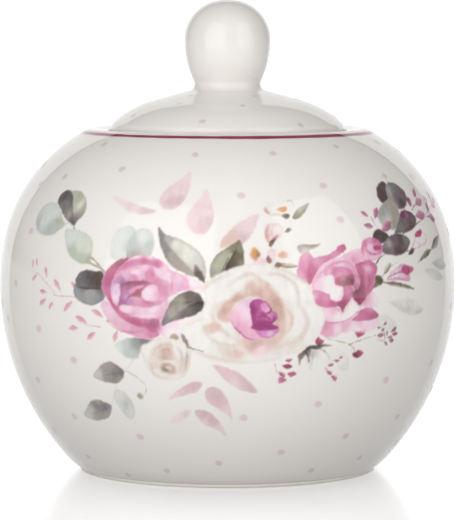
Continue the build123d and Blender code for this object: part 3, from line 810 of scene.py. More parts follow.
def dark_leaf(p):
    """The dark leaf between the two large roses."""
    p.petal([(-14.5, -5.1), (-13.8, -2.4), (-12.4, 0.2), (-10.4, 2.0), (-8.0, 2.5), (-6.0, 1.7),
             (-5.2, 0.0), (-5.6, -1.6), (-7.4, -2.7), (-9.8, -3.4), (-12.4, -4.2)],
            [("stone", -12.6, -2.4), ("olive", -11.0, 0.6), ("slate", -13.4, -4.2),
             ("umber_dark", -6.2, 0.6), ("umber", -8.2, 1.8), ("umber_dark", -6.4, -1.2),
             ("stone", -10.4, -0.8), ("slate_dark", -9.0, -2.6), ("umber", -7.6, -0.4)], rim="umber",
            rim_share=0.4, soft=0.28)
    p.fold([(-13.6, -4.4), (-11.4, -2.2), (-9.0, -0.6), (-6.8, 0.4)], 0.2, "olive_light", 0.5, 0.3)


def cream_rose(p):
    """A wide cream rose with a pink cup and a magenta heart."""
    p.petal([(-4.8, 4.4), (-1.4, 6.6), (3.0, 8.2), (8.0, 8.5), (12.6, 6.9), (15.6, 5.2), (17.9, 3.9),
             (19.1, 1.6), (19.8, -0.4), (21.4, -2.0), (22.0, -4.2), (20.8, -7.4), (18.0, -10.2),
             (13.6, -12.0), (8.0, -13.4), (2.0, -13.4), (-3.6, -12.2), (-8.0, -10.4), (-10.4, -7.6),
             (-9.8, -4.8), (-6.6, -3.0), (-5.0, 0.4)],
            [("white", 0, 4), ("white", 14, 3), ("white", 19, -4), ("white", -7, -6), ("cream", 2, -11),
             ("white", 8, 6.6), ("cream", 13, -10)], rim="cream_shade", rim_width=0.5, rim_share=0.4,
            soft=0.4)
    p.petal([(-2.4, -0.6), (-1.0, 0.2), (0.6, 0.6), (1.4, -0.6), (0.6, -2.6), (0.4, -4.0), (-0.8, -4.2),
             (-2.2, -3.2)],
            [("tan", -0.6, -1.6), ("tan_blush", 0.2, -3.2), ("cream_shade", -2.0, -0.8),
             ("tan_blush", 0.8, 0.0)], soft=0.6, strength=0.95)
    p.petal([(-0.4, -0.2), (1.6, 1.8), (3.8, 3.8), (5.6, 5.2), (7.6, 5.0), (10.0, 3.2), (11.8, 0.8),
             (12.8, -2.0), (13.2, -5.0), (12.4, -7.4), (10.4, -6.0), (9.6, -2.0), (7.0, 1.0), (4.4, 1.2),
             (2.0, 0.0)],
            [("tan", 2.2, 1.2), ("tan_blush", 4.8, 3.4), ("cream_shade", 6.6, 4.8), ("tan_blush", 8.8, 2.4),
             ("tan", 10.6, 0.0), ("tan", 11.6, -2.6), ("cream_shade", 3.2, 3.0), ("tan_blush", 12.4, -5.0),
             ("tan", 6.6, 1.4)], soft=0.8, strength=0.95)
    p.petal([(1.4, -5.4), (3.4, -7.0), (6.2, -8.0), (10.6, -7.0), (12.6, -6.2), (12.4, -8.4), (10.0, -10.4),
             (7.4, -12.0), (4.4, -10.8), (2.4, -8.4)],
            [("tan", 6.4, -8.6), ("tan_blush", 10.4, -8.2), ("blush", 7.6, -10.8), ("tan_blush", 3.8, -8.6),
             ("cream_shade", 2.6, -7.4)], soft=1.0, strength=0.9)
    p.fold([(12.6, 0.6), (13.6, -1.6), (13.8, -4.4), (13.0, -7.0)], 1.6, "cream_shade", 0.62, 0.9)
    p.fold([(-0.2, 3.4), (2.8, 5.6), (5.6, 6.2), (7.6, 4.6), (10.0, 3.6)], 0.7, "cream_line", 0.55, 0.6)
    p.fold([(8.0, 6.2), (11.0, 6.2), (13.8, 5.0), (15.4, 3.0), (15.9, 0.4), (15.2, -2.0)], 0.6,
           "cream_line", 0.62, 0.6)
    p.fold([(10.0, 8.0), (14.0, 6.4), (17.8, 4.0), (19.0, 1.6)], 0.5, "cream_line", 0.47, 0.6)
    p.fold([(15.6, 0.0), (17.2, -2.4), (17.9, -4.8), (17.0, -7.2), (15.0, -8.8), (12.0, -9.8)], 0.9,
           "cream_line", 0.62, 0.7)
    p.fold([(17.6, -5.6), (16.4, -8.4), (13.6, -10.2), (10.0, -11.4)], 1.4, "cream_shade", 0.55, 0.9)
    p.fold([(12.4, -0.8), (14.0, -2.8), (14.3, -4.8), (13.2, -7.0)], 0.5, "tan_blush", 0.6, 0.6)
    p.fold([(14.0, -7.4), (12.8, -9.2), (9.6, -10.8)], 0.5, "cream_line", 0.47, 0.6)
    p.fold([(-2.6, 0.2), (-3.3, -2.2), (-2.4, -4.8), (0.4, -7.2), (3.0, -8.8)], 0.7, "cream_line", 0.55,
           0.7)
    p.petal([(-5.4, -5.4), (-3.6, -4.4), (-1.6, -4.7), (-2.0, -6.0), (-4.2, -6.9)],
            [("tan_blush", -3.0, -5.4), ("cream_line", -4.8, -6.0)], strength=0.9, soft=0.7)
    p.fold([(-9.4, -5.2), (-6.4, -3.8), (-3.6, -3.6)], 0.5, "cream_shade", 0.55, 0.6)
    p.fold([(-5.6, -6.2), (-2.4, -8.8), (1.2, -9.4), (3.8, -9.0)], 0.6, "cream_line", 0.51, 0.7)
    p.petal([(-2.0, -9.8), (0.8, -9.9), (3.6, -11.0), (2.6, -12.4), (-1.0, -12.0)],
            [("cream_line", 0.31, -10.8), ("tan_blush", 2.4, -11.6), ("cream_shade", -1.4, -11.2)],
            strength=0.8, soft=0.9)
    p.fold([(-9.0, -9.6), (-4.8, -11.8), (0.0, -13.0), (5.0, -13.4)], 0.6, "cream_line", 0.43, 0.7)
    p.fold([(-6.4, 1.6), (-5.0, 3.4), (-3.0, 4.8), (0.0, 6.2)], 0.6, "cream_line", 0.47, 0.7)
    p.petal([(0.4, -3.2), (1.2, -1.4), (2.6, 0.0), (4.2, 0.8), (5.8, 0.9), (6.4, -0.6), (7.4, -4.0),
             (7.2, -7.6), (6.6, -8.2), (4.6, -7.8), (3.0, -6.8), (1.6, -5.4)],
            [("pink_light", 1.4, -3.2), ("pink_pale", 3.0, -0.8), ("pink_pale", 4.4, -2.4),
             ("pink_soft", 2.6, -5.2), ("pink_soft", 5.2, -6.8), ("lilac_pale", 4.6, -0.2)],
            rim="pink_soft", rim_share=0.4)
    p.fold([(0.5, -3.6), (1.6, -5.4), (3.0, -6.8), (4.6, -7.9), (6.6, -8.2)], 0.3, "magenta", 0.75, 0.28)
    p.petal([(6.9, -7.0), (6.2, -6.0), (8.0, -5.9), (11.2, -5.7), (11.0, -6.8), (9.6, -7.7), (7.6, -7.8)],
            [("magenta_pale", 8.0, -6.7), ("lilac_pale", 9.6, -7.0), ("lilac", 10.6, -6.3)], rim="magenta",
            rim_share=0.7)
    p.petal([(4.9, -0.6), (5.3, 0.4), (6.4, 0.9), (7.7, 0.5), (8.9, -0.2), (9.5, -1.6), (10.7, -2.3),
             (10.9, -3.6), (9.9, -4.6), (11.3, -5.4), (10.8, -5.9), (7.6, -6.1), (5.2, -5.7), (5.5, -4.6),
             (5.1, -2.6)],
            [("magenta_deep", 5.6, -1.4), ("magenta", 6.6, 0.2), ("magenta_pale", 8.2, -0.9),
             ("magenta", 7.4, -2.6), ("lilac", 9.6, -2.8), ("magenta", 10.0, -3.8),
             ("magenta_deep", 7.0, -5.0), ("magenta_deep", 9.4, -5.2)], rim="magenta_deep", bloom=0.08,
            rim_share=0.5)
    p.petal([(7.4, -0.2), (8.6, -0.2), (9.3, -1.6), (8.4, -2.0), (7.6, -1.4)],
            [("magenta_pale", 8.4, -0.8), ("pink_light", 8.8, -1.4)], soft=0.3, strength=0.85)
    p.fold([(8.8, -0.2), (9.4, -1.2), (9.5, -2.0), (8.2, -2.4), (6.6, -2.2)], 0.3, "magenta_deep", 0.8,
           0.25)
    p.fold([(6.4, -3.4), (7.6, -2.9), (8.9, -3.2), (9.4, -4.2)], 0.3, "magenta_deep", 0.75, 0.25)
    p.fold([(9.6, -2.4), (10.3, -3.4), (9.6, -4.4), (8.0, -4.2), (6.4, -4.4)], 0.35, "magenta_deep", 0.75,
           0.28)
    p.fold([(5.4, -5.2), (7.4, -4.9), (9.4, -5.3), (11.0, -5.5)], 0.5, "magenta_deep", 0.75, 0.3)
    p.fold([(5.6, -0.6), (5.7, -2.6), (6.2, -4.2)], 0.7, "magenta_deep", 0.5, 0.4)


def right_rose(p):
    """A half-open pink rose that faces left, with a maroon heart."""
    p.petal([(31.0, 0.4), (33.0, 1.4), (35.4, 1.2), (36.6, -0.4), (35.4, -1.8), (32.4, -2.0)],
            [("pink_soft", 32.6, -0.4), ("pink_light", 33.6, 0.2), ("pink_white", 35.4, 0.2)], soft=0.5,
            strength=0.85)
    p.petal([(24.6, -4.4), (28.0, -4.2), (32.0, -3.8), (35.4, -4.6), (36.2, -6.4), (33.0, -7.4),
             (28.4, -7.2), (25.2, -6.8)],
            [("pink_soft", 27.4, -5.0), ("pink_light", 31.0, -5.2), ("pink_pale", 33.4, -5.4),
             ("pink_white", 30, -6.8)], soft=0.5, strength=0.85)
    p.petal([(28.4, -4.0), (30.2, -2.8), (32.2, -2.0), (34.2, -2.2), (36.2, -3.6), (35.6, -4.5),
             (32.6, -4.8), (29.6, -4.7)],
            [("rose_deep", 33, -3.2), ("rose", 30.4, -4.0), ("rose_deep", 35, -4.0), ("pink", 33.6, -2.4)],
            rim="rose", rim_share=0.4)
    p.petal([(21.2, -4.2), (23.0, -4.4), (25.8, -5.2), (26.4, -6.6), (25.2, -8.0), (22.2, -7.8),
             (20.8, -6.8)],
            [("pink", 22.4, -5.6), ("pink_soft", 22.8, -7.2), ("pink_pale", 25.6, -6.6)], rim="pink_light",
            rim_share=0.4, soft=0.4)
    p.petal([(15.4, 5.9), (15.8, 7.7), (16.3, 9.5), (17.2, 10.7), (18.7, 10.8), (19.6, 9.0), (19.0, 6.2),
             (17.8, 4.2), (16.4, 4.9)],
            [("pink_soft", 17.4, 10.0), ("pink", 16.4, 7.6), ("pink_soft", 16.2, 6.0), ("rose", 18.2, 6.4),
             ("pink", 18.2, 8.6)], rim="pink_soft", rim_share=0.5)
    p.petal([(17.8, 4.2), (18.0, 6.6), (18.6, 8.8), (20.4, 9.8), (22.8, 10.1), (25.0, 11.1), (26.4, 12.1),
             (27.7, 12.3), (27.9, 11.3), (26.2, 10.1), (23.8, 9.0), (21.4, 7.8), (19.6, 5.4), (18.8, 4.0)],
            [("rose", 18.9, 7.2), ("crimson", 18.6, 5.8), ("pink", 21.0, 8.8), ("rose", 23.0, 9.4),
             ("pink", 24.8, 10.2), ("rose_deep", 26.8, 11.6), ("pink_soft", 20.2, 9.3)], rim="rose",
            rim_share=0.5)
    p.petal([(25.4, 9.0), (28.0, 10.4), (30.2, 11.2), (31.9, 10.9), (31.9, 9.0), (30.4, 8.0), (27.4, 7.8)],
            [("pink_light", 28.2, 9.8), ("pink_soft", 30.8, 10.0), ("pink", 29.8, 8.6),
             ("pink_pale", 30.4, 10.9)], rim="pink_light", rim_share=0.5)
    p.petal([(30.0, 7.8), (32.6, 8.5), (34.6, 8.3), (35.9, 7.4), (36.0, 6.4), (35.3, 4.8), (35.0, 3.0),
             (34.2, 1.8), (32.8, 0.6), (31.0, -1.3), (29.8, -0.6), (29.0, 0.6), (28.6, 2.6), (29.4, 5.4)],
            [("rose_deep", 31.6, 7.6), ("pink", 33.2, 6.4), ("rose", 34.8, 7.2), ("rose_deep", 31.0, 5.2),
             ("rose", 33.4, 3.6), ("rose_deep", 32.6, 2.0), ("maroon", 30.4, 2.4), ("rose_dark", 31.0, 0.6),
             ("pink", 34.6, 3.4)], rim="rose_deep", rim_share=0.5)
    p.petal([(29.6, 3.4), (31.0, 3.6), (32.2, 2.6), (32.0, 1.0), (30.4, 0.2), (29.2, 1.4)],
            [("maroon", 30.4, 2.0), ("rose_dark", 31.6, 1.6)], soft=0.7, strength=0.75)
    p.fold([(30.6, 6.6), (31.6, 4.6), (31.4, 2.8)], 0.5, "rose_dark", 0.5, 0.5)
    p.fold([(31.6, 7.4), (33.4, 6.8), (35.2, 6.4)], 1.0, "pink_light", 0.6, 0.6)
    p.fold([(33.4, 5.6), (33.8, 3.6), (32.8, 1.6)], 0.3, "rose_dark", 0.45, 0.35)
    p.petal([(18.9, 3.4), (19.8, 5.8), (21.4, 7.8), (23.8, 9.0), (26.4, 9.5), (28.6, 9.0), (30.0, 7.4),
             (30.6, 5.2), (30.2, 2.8), (28.8, 1.4), (26.0, 0.6), (21.0, 0.8)],
            [("pink_light", 20.0, 4.8), ("pink_pale", 22.4, 7.6), ("pink_pale", 26.4, 8.8),
             ("pink_light", 24.2, 7.6), ("pink", 29.6, 6.8), ("pink_soft", 28.4, 7.6),
             ("pink_soft", 30.0, 4.2)], rim="pink_soft", rim_share=0.5)
    p.fold([(20.4, 5.4), (22.4, 7.2), (25.0, 8.3), (27.6, 8.5), (29.4, 7.4)], 0.35, "rose", 0.5, 0.4)
    p.petal([(21.8, 6.2), (23.6, 7.4), (26.2, 7.4), (28.4, 6.8), (29.4, 5.2), (29.0, 3.4), (26.6, 3.0),
             (24.2, 3.8)],
            [("rose", 24.4, 6.4), ("pink", 26.8, 6.4), ("rose", 28.6, 6.2), ("pink_soft", 26.2, 5.2),
             ("pink_light", 23.4, 6.6)], rim="rose", rim_share=0.35, soft=0.35)
    p.petal([(24.6, 4.9), (26.8, 5.6), (28.4, 5.2), (29.6, 5.4), (29.5, 3.6), (28.2, 3.2), (25.8, 3.0),
             (24.6, 3.6)],
            [("heart", 27.8, 4.0), ("heart", 29.0, 4.4), ("crimson", 25.6, 4.0), ("pink", 26.4, 4.9),
             ("calyx", 26.8, 4.0)], soft=0.35)
    p.petal([(28.4, 5.4), (29.2, 5.6), (29.6, 4.2), (28.9, 3.2), (28.4, 4.2)],
            [("maroon", 29.1, 4.2), ("heart", 28.8, 5.0)], soft=0.4, strength=0.85)
    p.petal([(29.6, 5.8), (30.6, 5.0), (31.1, 3.6), (30.4, 2.2), (29.4, 2.4), (29.6, 4.0)],
            [("pink_soft", 30.4, 4.2), ("rose", 30.0, 2.9), ("pink", 30.0, 5.2)], rim="rose_dark",
            rim_share=0.35)
    p.petal([(19.1, 2.8), (20.0, 4.4), (21.6, 5.6), (23.4, 5.8), (24.4, 5.2), (24.6, 3.6), (26.6, 2.9),
             (26.9, 1.2), (26.2, -0.2), (23.8, -0.4), (20.4, 0.6)],
            [("pink_pale", 20.6, 3.4), ("pink_white", 23.2, 4.4), ("white", 24.6, 2.0),
             ("pink_white", 22.6, 2.6), ("pink_soft", 20.4, 1.8), ("pink_white", 25.8, 0.8)],
            rim="pink_soft", rim_share=0.4)
    p.petal([(19.1, 2.3), (21.4, 2.0), (23.0, 1.4), (23.6, 0.2), (25.8, -0.2), (26.6, 1.2), (26.8, 3.0),
             (28.4, 3.1), (29.0, 2.0), (28.9, 0.4), (27.8, -0.6), (27.0, -1.8), (26.4, -2.7), (25.6, -1.5),
             (23.4, -1.3), (21.4, -1.1), (19.5, -0.2)],
            [("pink_soft", 19.8, 1.2), ("rose", 20.8, 0.6), ("pink", 22.4, 0.6), ("rose", 24.2, -0.8),
             ("rose_dark", 26.6, -1.0), ("rose_deep", 27.2, -0.4), ("pink", 27.8, 1.8),
             ("rose", 28.4, 0.9)], rim="rose_deep", rim_share=0.4, soft=0.3)
    p.petal([(21.2, -1.7), (23.6, -1.6), (25.6, -1.9), (26.4, -2.9), (27.4, -1.6), (28.4, 0.2), (29.2, 0.3),
             (30.4, -1.0), (31.2, -1.9), (30.4, -3.2), (28.6, -4.4), (25.6, -5.0), (22.8, -4.4),
             (21.2, -3.2)],
            [("pink_pale", 22.2, -2.6), ("white", 28.8, -1.6), ("pink_white", 25.6, -3.6),
             ("pink_light", 24.2, -2.0), ("white", 27.6, -3.4)], rim="pink_soft", rim_share=0.5)
    p.fold([(21.2, -4.3), (24.0, -4.9), (27.4, -4.5), (29.8, -3.2), (31.2, -1.9)], 0.2, "rose", 0.6, 0.25)
    p.fold([(19.0, 2.6), (19.6, -0.2), (21.6, -1.3), (24.4, -1.5), (26.2, -2.6)], 0.2, "rose_deep", 0.6,
           0.25)
    p.fold([(28.8, 2.6), (29.2, 1.0), (30.2, -0.4), (31.4, -1.4)], 0.5, "rose_dark", 0.6, 0.35)
    p.petal([(26.6, 3.0), (28.6, 5.4), (31.4, 6.4), (34.4, 5.6), (34.6, 2.4), (32.8, -0.8), (31.0, -1.8),
             (29.4, 0.0), (28.0, -0.8), (26.6, -2.4), (25.2, -0.6)],
            [("heart", 30.0, 2.0)], soft=0.6, strength=0.15)


def right_bud(p):
    """The bud above the right rose."""
    p.petal([(31.8, 8.8), (31.9, 10.8), (32.7, 12.6), (34.4, 13.5), (36.4, 13.4), (38.0, 12.6),
             (38.4, 10.8), (37.4, 9.2), (35.0, 8.4), (33.2, 8.2)],
            [("pink", 32.6, 11.6), ("pink_soft", 34.8, 12.9), ("pink_light", 33.4, 9.2),
             ("rose", 36.6, 12.6), ("pink_pale", 35.8, 9.2)], rim="rose", rim_share=0.5)
    p.petal([(33.4, 11.4), (34.6, 12.4), (36.6, 12.4), (38.2, 11.6), (37.8, 10.2), (36.0, 9.6),
             (34.2, 10.2)],
            [("pink_pale", 34.6, 11.6), ("pink", 36.6, 12.0), ("pink_light", 36.2, 10.1),
             ("rose", 37.6, 11.0)], rim="rose", rim_share=0.5)
    p.petal([(35.6, 11.4), (36.8, 11.8), (37.9, 11.2), (37.0, 10.6), (35.8, 10.8)],
            [("rose_deep", 36.8, 11.3), ("rose_dark", 37.2, 11.0)], soft=0.25)
    p.fold([(33.6, 10.6), (35.0, 9.8), (37.0, 9.8)], 0.3, "rose_deep", 0.6, 0.3)
    p.fold([(32.3, 9.0), (32.6, 11.4), (34.0, 12.9)], 0.4, "rose", 0.5, 0.35)


def right_leaves(p):
    """Plum and ash eucalyptus at the upper right."""
    p.stroke([(36.0, 7.8), (37.4, 9.0), (40.0, 9.9), (44.0, 10.2), (48.2, 9.8)], 0.35, "plum_grey", 0.8)
    p.stroke([(46.4, 14.0), (50.0, 15.0), (53.4, 15.9), (58.0, 17.0), (62.0, 17.3)], 0.3, "plum_grey", 0.75)
    p.petal([(42.0, 21.7), (41.8, 23.6), (43.0, 25.4), (45.0, 26.6), (46.8, 26.8), (47.4, 26.0),
             (46.6, 24.2), (45.2, 22.4), (43.4, 21.5)],
            [("plum_dark", 43.0, 23.4), ("umber", 45.4, 25.8), ("plum_dark", 45.0, 24.0)], rim="umber",
            rim_share=0.4, soft=0.3)
    p.petal([(45.3, 22.8), (46.4, 25.2), (48.8, 26.5), (51.0, 26.3), (53.0, 25.1), (53.9, 23.4),
             (52.6, 21.2), (50.4, 19.9), (48.0, 19.6), (46.8, 20.8)],
            [("ash", 47.0, 24.0), ("stone", 46.8, 22.6), ("plum_grey", 51.6, 23.8),
             ("plum_dark", 50.2, 21.2), ("slate", 50.0, 25.4), ("plum_grey", 49.0, 22.8)], rim="slate",
            rim_share=0.35, soft=0.3)
    p.petal([(39.3, 17.4), (39.8, 19.2), (41.6, 20.8), (44.0, 21.9), (46.4, 22.1), (47.7, 20.8),
             (47.5, 19.0), (46.6, 17.0), (45.0, 15.4), (42.8, 15.0), (40.6, 15.8)],
            [("ash", 41.6, 19.4), ("stone", 45.8, 19.2), ("ash_pale", 42.4, 17.4), ("ash", 45.0, 21.4),
             ("stone", 44.4, 16.4)], rim="ash", rim_share=0.4, soft=0.35)
    p.petal([(47.4, 18.3), (49.4, 19.3), (51.6, 19.0), (53.5, 17.7), (53.2, 16.2), (51.2, 14.9),
             (48.4, 14.2), (45.4, 14.1), (43.6, 14.3), (45.4, 16.2)],
            [("plum_grey", 48.4, 16.4), ("plum_dark", 50.6, 15.6), ("slate", 46.0, 15.0),
             ("plum_grey", 52.4, 17.2), ("plum_dark", 51.0, 18.6)], rim="plum_dark", rim_share=0.4,
            soft=0.3)
    p.petal([(47.2, 18.2), (48.4, 19.2), (50.4, 18.8), (51.0, 17.8), (49.4, 17.4), (48.0, 17.4)],
            [("plum", 48.6, 18.4), ("mauve_deep", 50.0, 18.2)], strength=0.8, soft=0.4)
    p.petal([(36.0, 13.4), (36.8, 14.8), (38.2, 15.3), (40.0, 14.7), (41.1, 13.4), (39.6, 12.3),
             (37.2, 12.0)],
            [("plum_dark", 37.6, 13.6), ("umber", 39.4, 13.8), ("plum_dark", 38.6, 12.8)], rim="umber",
            rim_share=0.4, soft=0.3)
    p.petal([(38.0, 10.6), (39.6, 12.6), (42.2, 13.8), (45.0, 14.0), (47.0, 13.4), (48.3, 12.2),
             (47.4, 10.8), (45.4, 9.6), (43.0, 9.2), (40.2, 9.5)],
            [("ash", 40.8, 11.8), ("plum_grey", 42.8, 13.0), ("plum_dark", 45.0, 12.4),
             ("plum_dark", 43.4, 10.4), ("slate", 46.8, 12.6), ("plum_grey", 40.4, 10.2)], rim="plum_dark",
            rim_share=0.35, soft=0.3)
    p.stroke([(37.0, 18.3), (37.5, 16.6), (38.0, 15.2)], 0.22, "mauve", 0.6)
    p.sprig([],
            [(36.3, 18.4, 148, 2.4), (36.9, 16.0, 170, 3.0), (37.9, 17.7, 54, 3.5), (39.0, 14.7, 28, 4.8)],
            "mauve_deep", "berry_pale")
    p.petal([(46.9, 9.2), (48.6, 10.4), (49.6, 10.2), (48.6, 9.2)], [("plum_dark", 48, 9.6)], soft=0.28)
    p.stroke([(48.8, 10.0), (50.4, 10.4), (52.4, 10.6)], 0.2, "berry_pale", 0.6)


def right_sprigs(p):
    """Sprigs that reach round the right-hand side."""
    p.stroke([(53.4, 19.2), (55.4, 20.1), (57.4, 20.6)], 0.3, "mauve", 0.7)
    p.stroke([(58.4, 17.4), (62.8, 18.6), (69.0, 20.2)], 0.25, "mauve", 0.5)
    p.sprig([],
            [(57.4, 22.0, 40, 3.8), (56.2, 20.4, 11, 5.0), (53.8, 17.6, 4, 5.4), (60.6, 17.2, -12, 4.6),
             (61.4, 18.4, 42, 3.4), (65.8, 19.4, 5, 4.4), (67.4, 20.0, 55, 3.8), (69.0, 20.2, 15, 4.0)],
            "mauve_deep", "berry_pale")
    p.petal([(52.8, 21.6), (53.8, 22.4), (54.8, 21.8), (54.4, 20.5), (53.2, 20.2)],
            [("plum", 53.8, 21.4), ("mauve_deep", 54.2, 21.0)], soft=0.4, strength=0.85)
    p.petal([(62.8, 21.4), (64.0, 22.2), (65.0, 21.2), (64.0, 20.4)], [("mauve_deep", 64, 21.4)], soft=0.4,
            strength=0.6)
    p.fold([(50.4, 12.0), (52.6, 11.0), (54.8, 11.2), (56.2, 12.6), (54.8, 13.8)], 0.3, "pink_light", 0.8,
           0.35)
    p.petal([(51.0, 13.0), (52.0, 14.0), (54.4, 14.4), (54.2, 13.4), (52.6, 12.7)],
            [("rose_deep", 52.0, 13.4), ("berry", 53.6, 13.8)], soft=0.28)
    p.stroke([(48.6, 10.4), (50.4, 12.2), (51.2, 13.0)], 0.22, "berry_pale", 0.6)
    p.leaf((50.4, 7.1), (57.6, 9.7), 0.72, "olive_dark", "olive", bow=0.3, fat_end=-0.2)
    p.leaf((57.2, 9.7), (63.6, 12.6), 0.95, "stone", "plum_grey", bow=-0.2)
    p.leaf((56.8, 6.6), (66.0, 5.4), 1.3, "ash", "ash_pale", round_end=1.2, strength=0.7)
    p.leaf((53.0, 5.2), (63.0, 2.6), 1.3, "ash_pale", "sage", strength=0.7)
    p.leaf((37.9, 5.2), (40.5, 7.6), 0.62, "calyx", "olive_light")
    p.stroke([(36.6, 4.6), (38.0, 5.2), (39.6, 6.6), (42.4, 7.6)], 0.22, "twig", 0.6)
    p.petal([(39.0, 3.9), (40.2, 5.3), (42.6, 6.6), (44.8, 7.0), (46.0, 5.8), (46.6, 3.4), (43.6, 3.6),
             (41.2, 3.8)],
            [("pink_white", 41.4, 4.6), ("pink_pale", 43.6, 5.0), ("pink_light", 44.4, 6.4),
             ("pink_soft", 46.0, 3.8)], rim="mauve", rim_share=0.5, soft=0.3)
    p.fold([(38.9, 4.1), (41.0, 5.0), (43.6, 5.4), (45.6, 5.2)], 0.25, "mauve", 0.7, 0.28)
    p.fold([(39.2, 3.9), (42.0, 4.1), (44.8, 3.6), (46.4, 3.2)], 0.25, "berry_pale", 0.7, 0.28)
    p.petal([(43.8, 5.6), (44.4, 6.6), (46.0, 6.7), (48.5, 5.9), (47.2, 5.1), (45.6, 4.6)],
            [("rose_deep", 45.4, 6.0), ("berry", 46.2, 5.4), ("rose", 47.6, 5.8)], soft=0.28)
    p.petal([(35.3, 4.9), (36.4, 5.0), (37.7, 4.2), (37.2, 3.1), (35.8, 2.6), (34.6, 2.4), (35.2, 3.6)],
            [("olive_dark", 36, 4), ("calyx", 35.4, 3), ("umber", 37, 3.8)], soft=0.28)
    p.leaf((37.3, 3.5), (48.2, 1.3), 0.5, "calyx", "umber", bow=0.15, soft=0.25)
    p.leaf((38.8, -0.9), (52.6, -3.9), 1.8, "ash_pale", "stone_light", fat_end=-0.3, strength=0.85,
           soft=0.3)
    p.leaf((34.4, -4.4), (42.6, -7.2), 1.9, "mist", "stone_light", round_end=1.3, strength=0.7, soft=0.4)


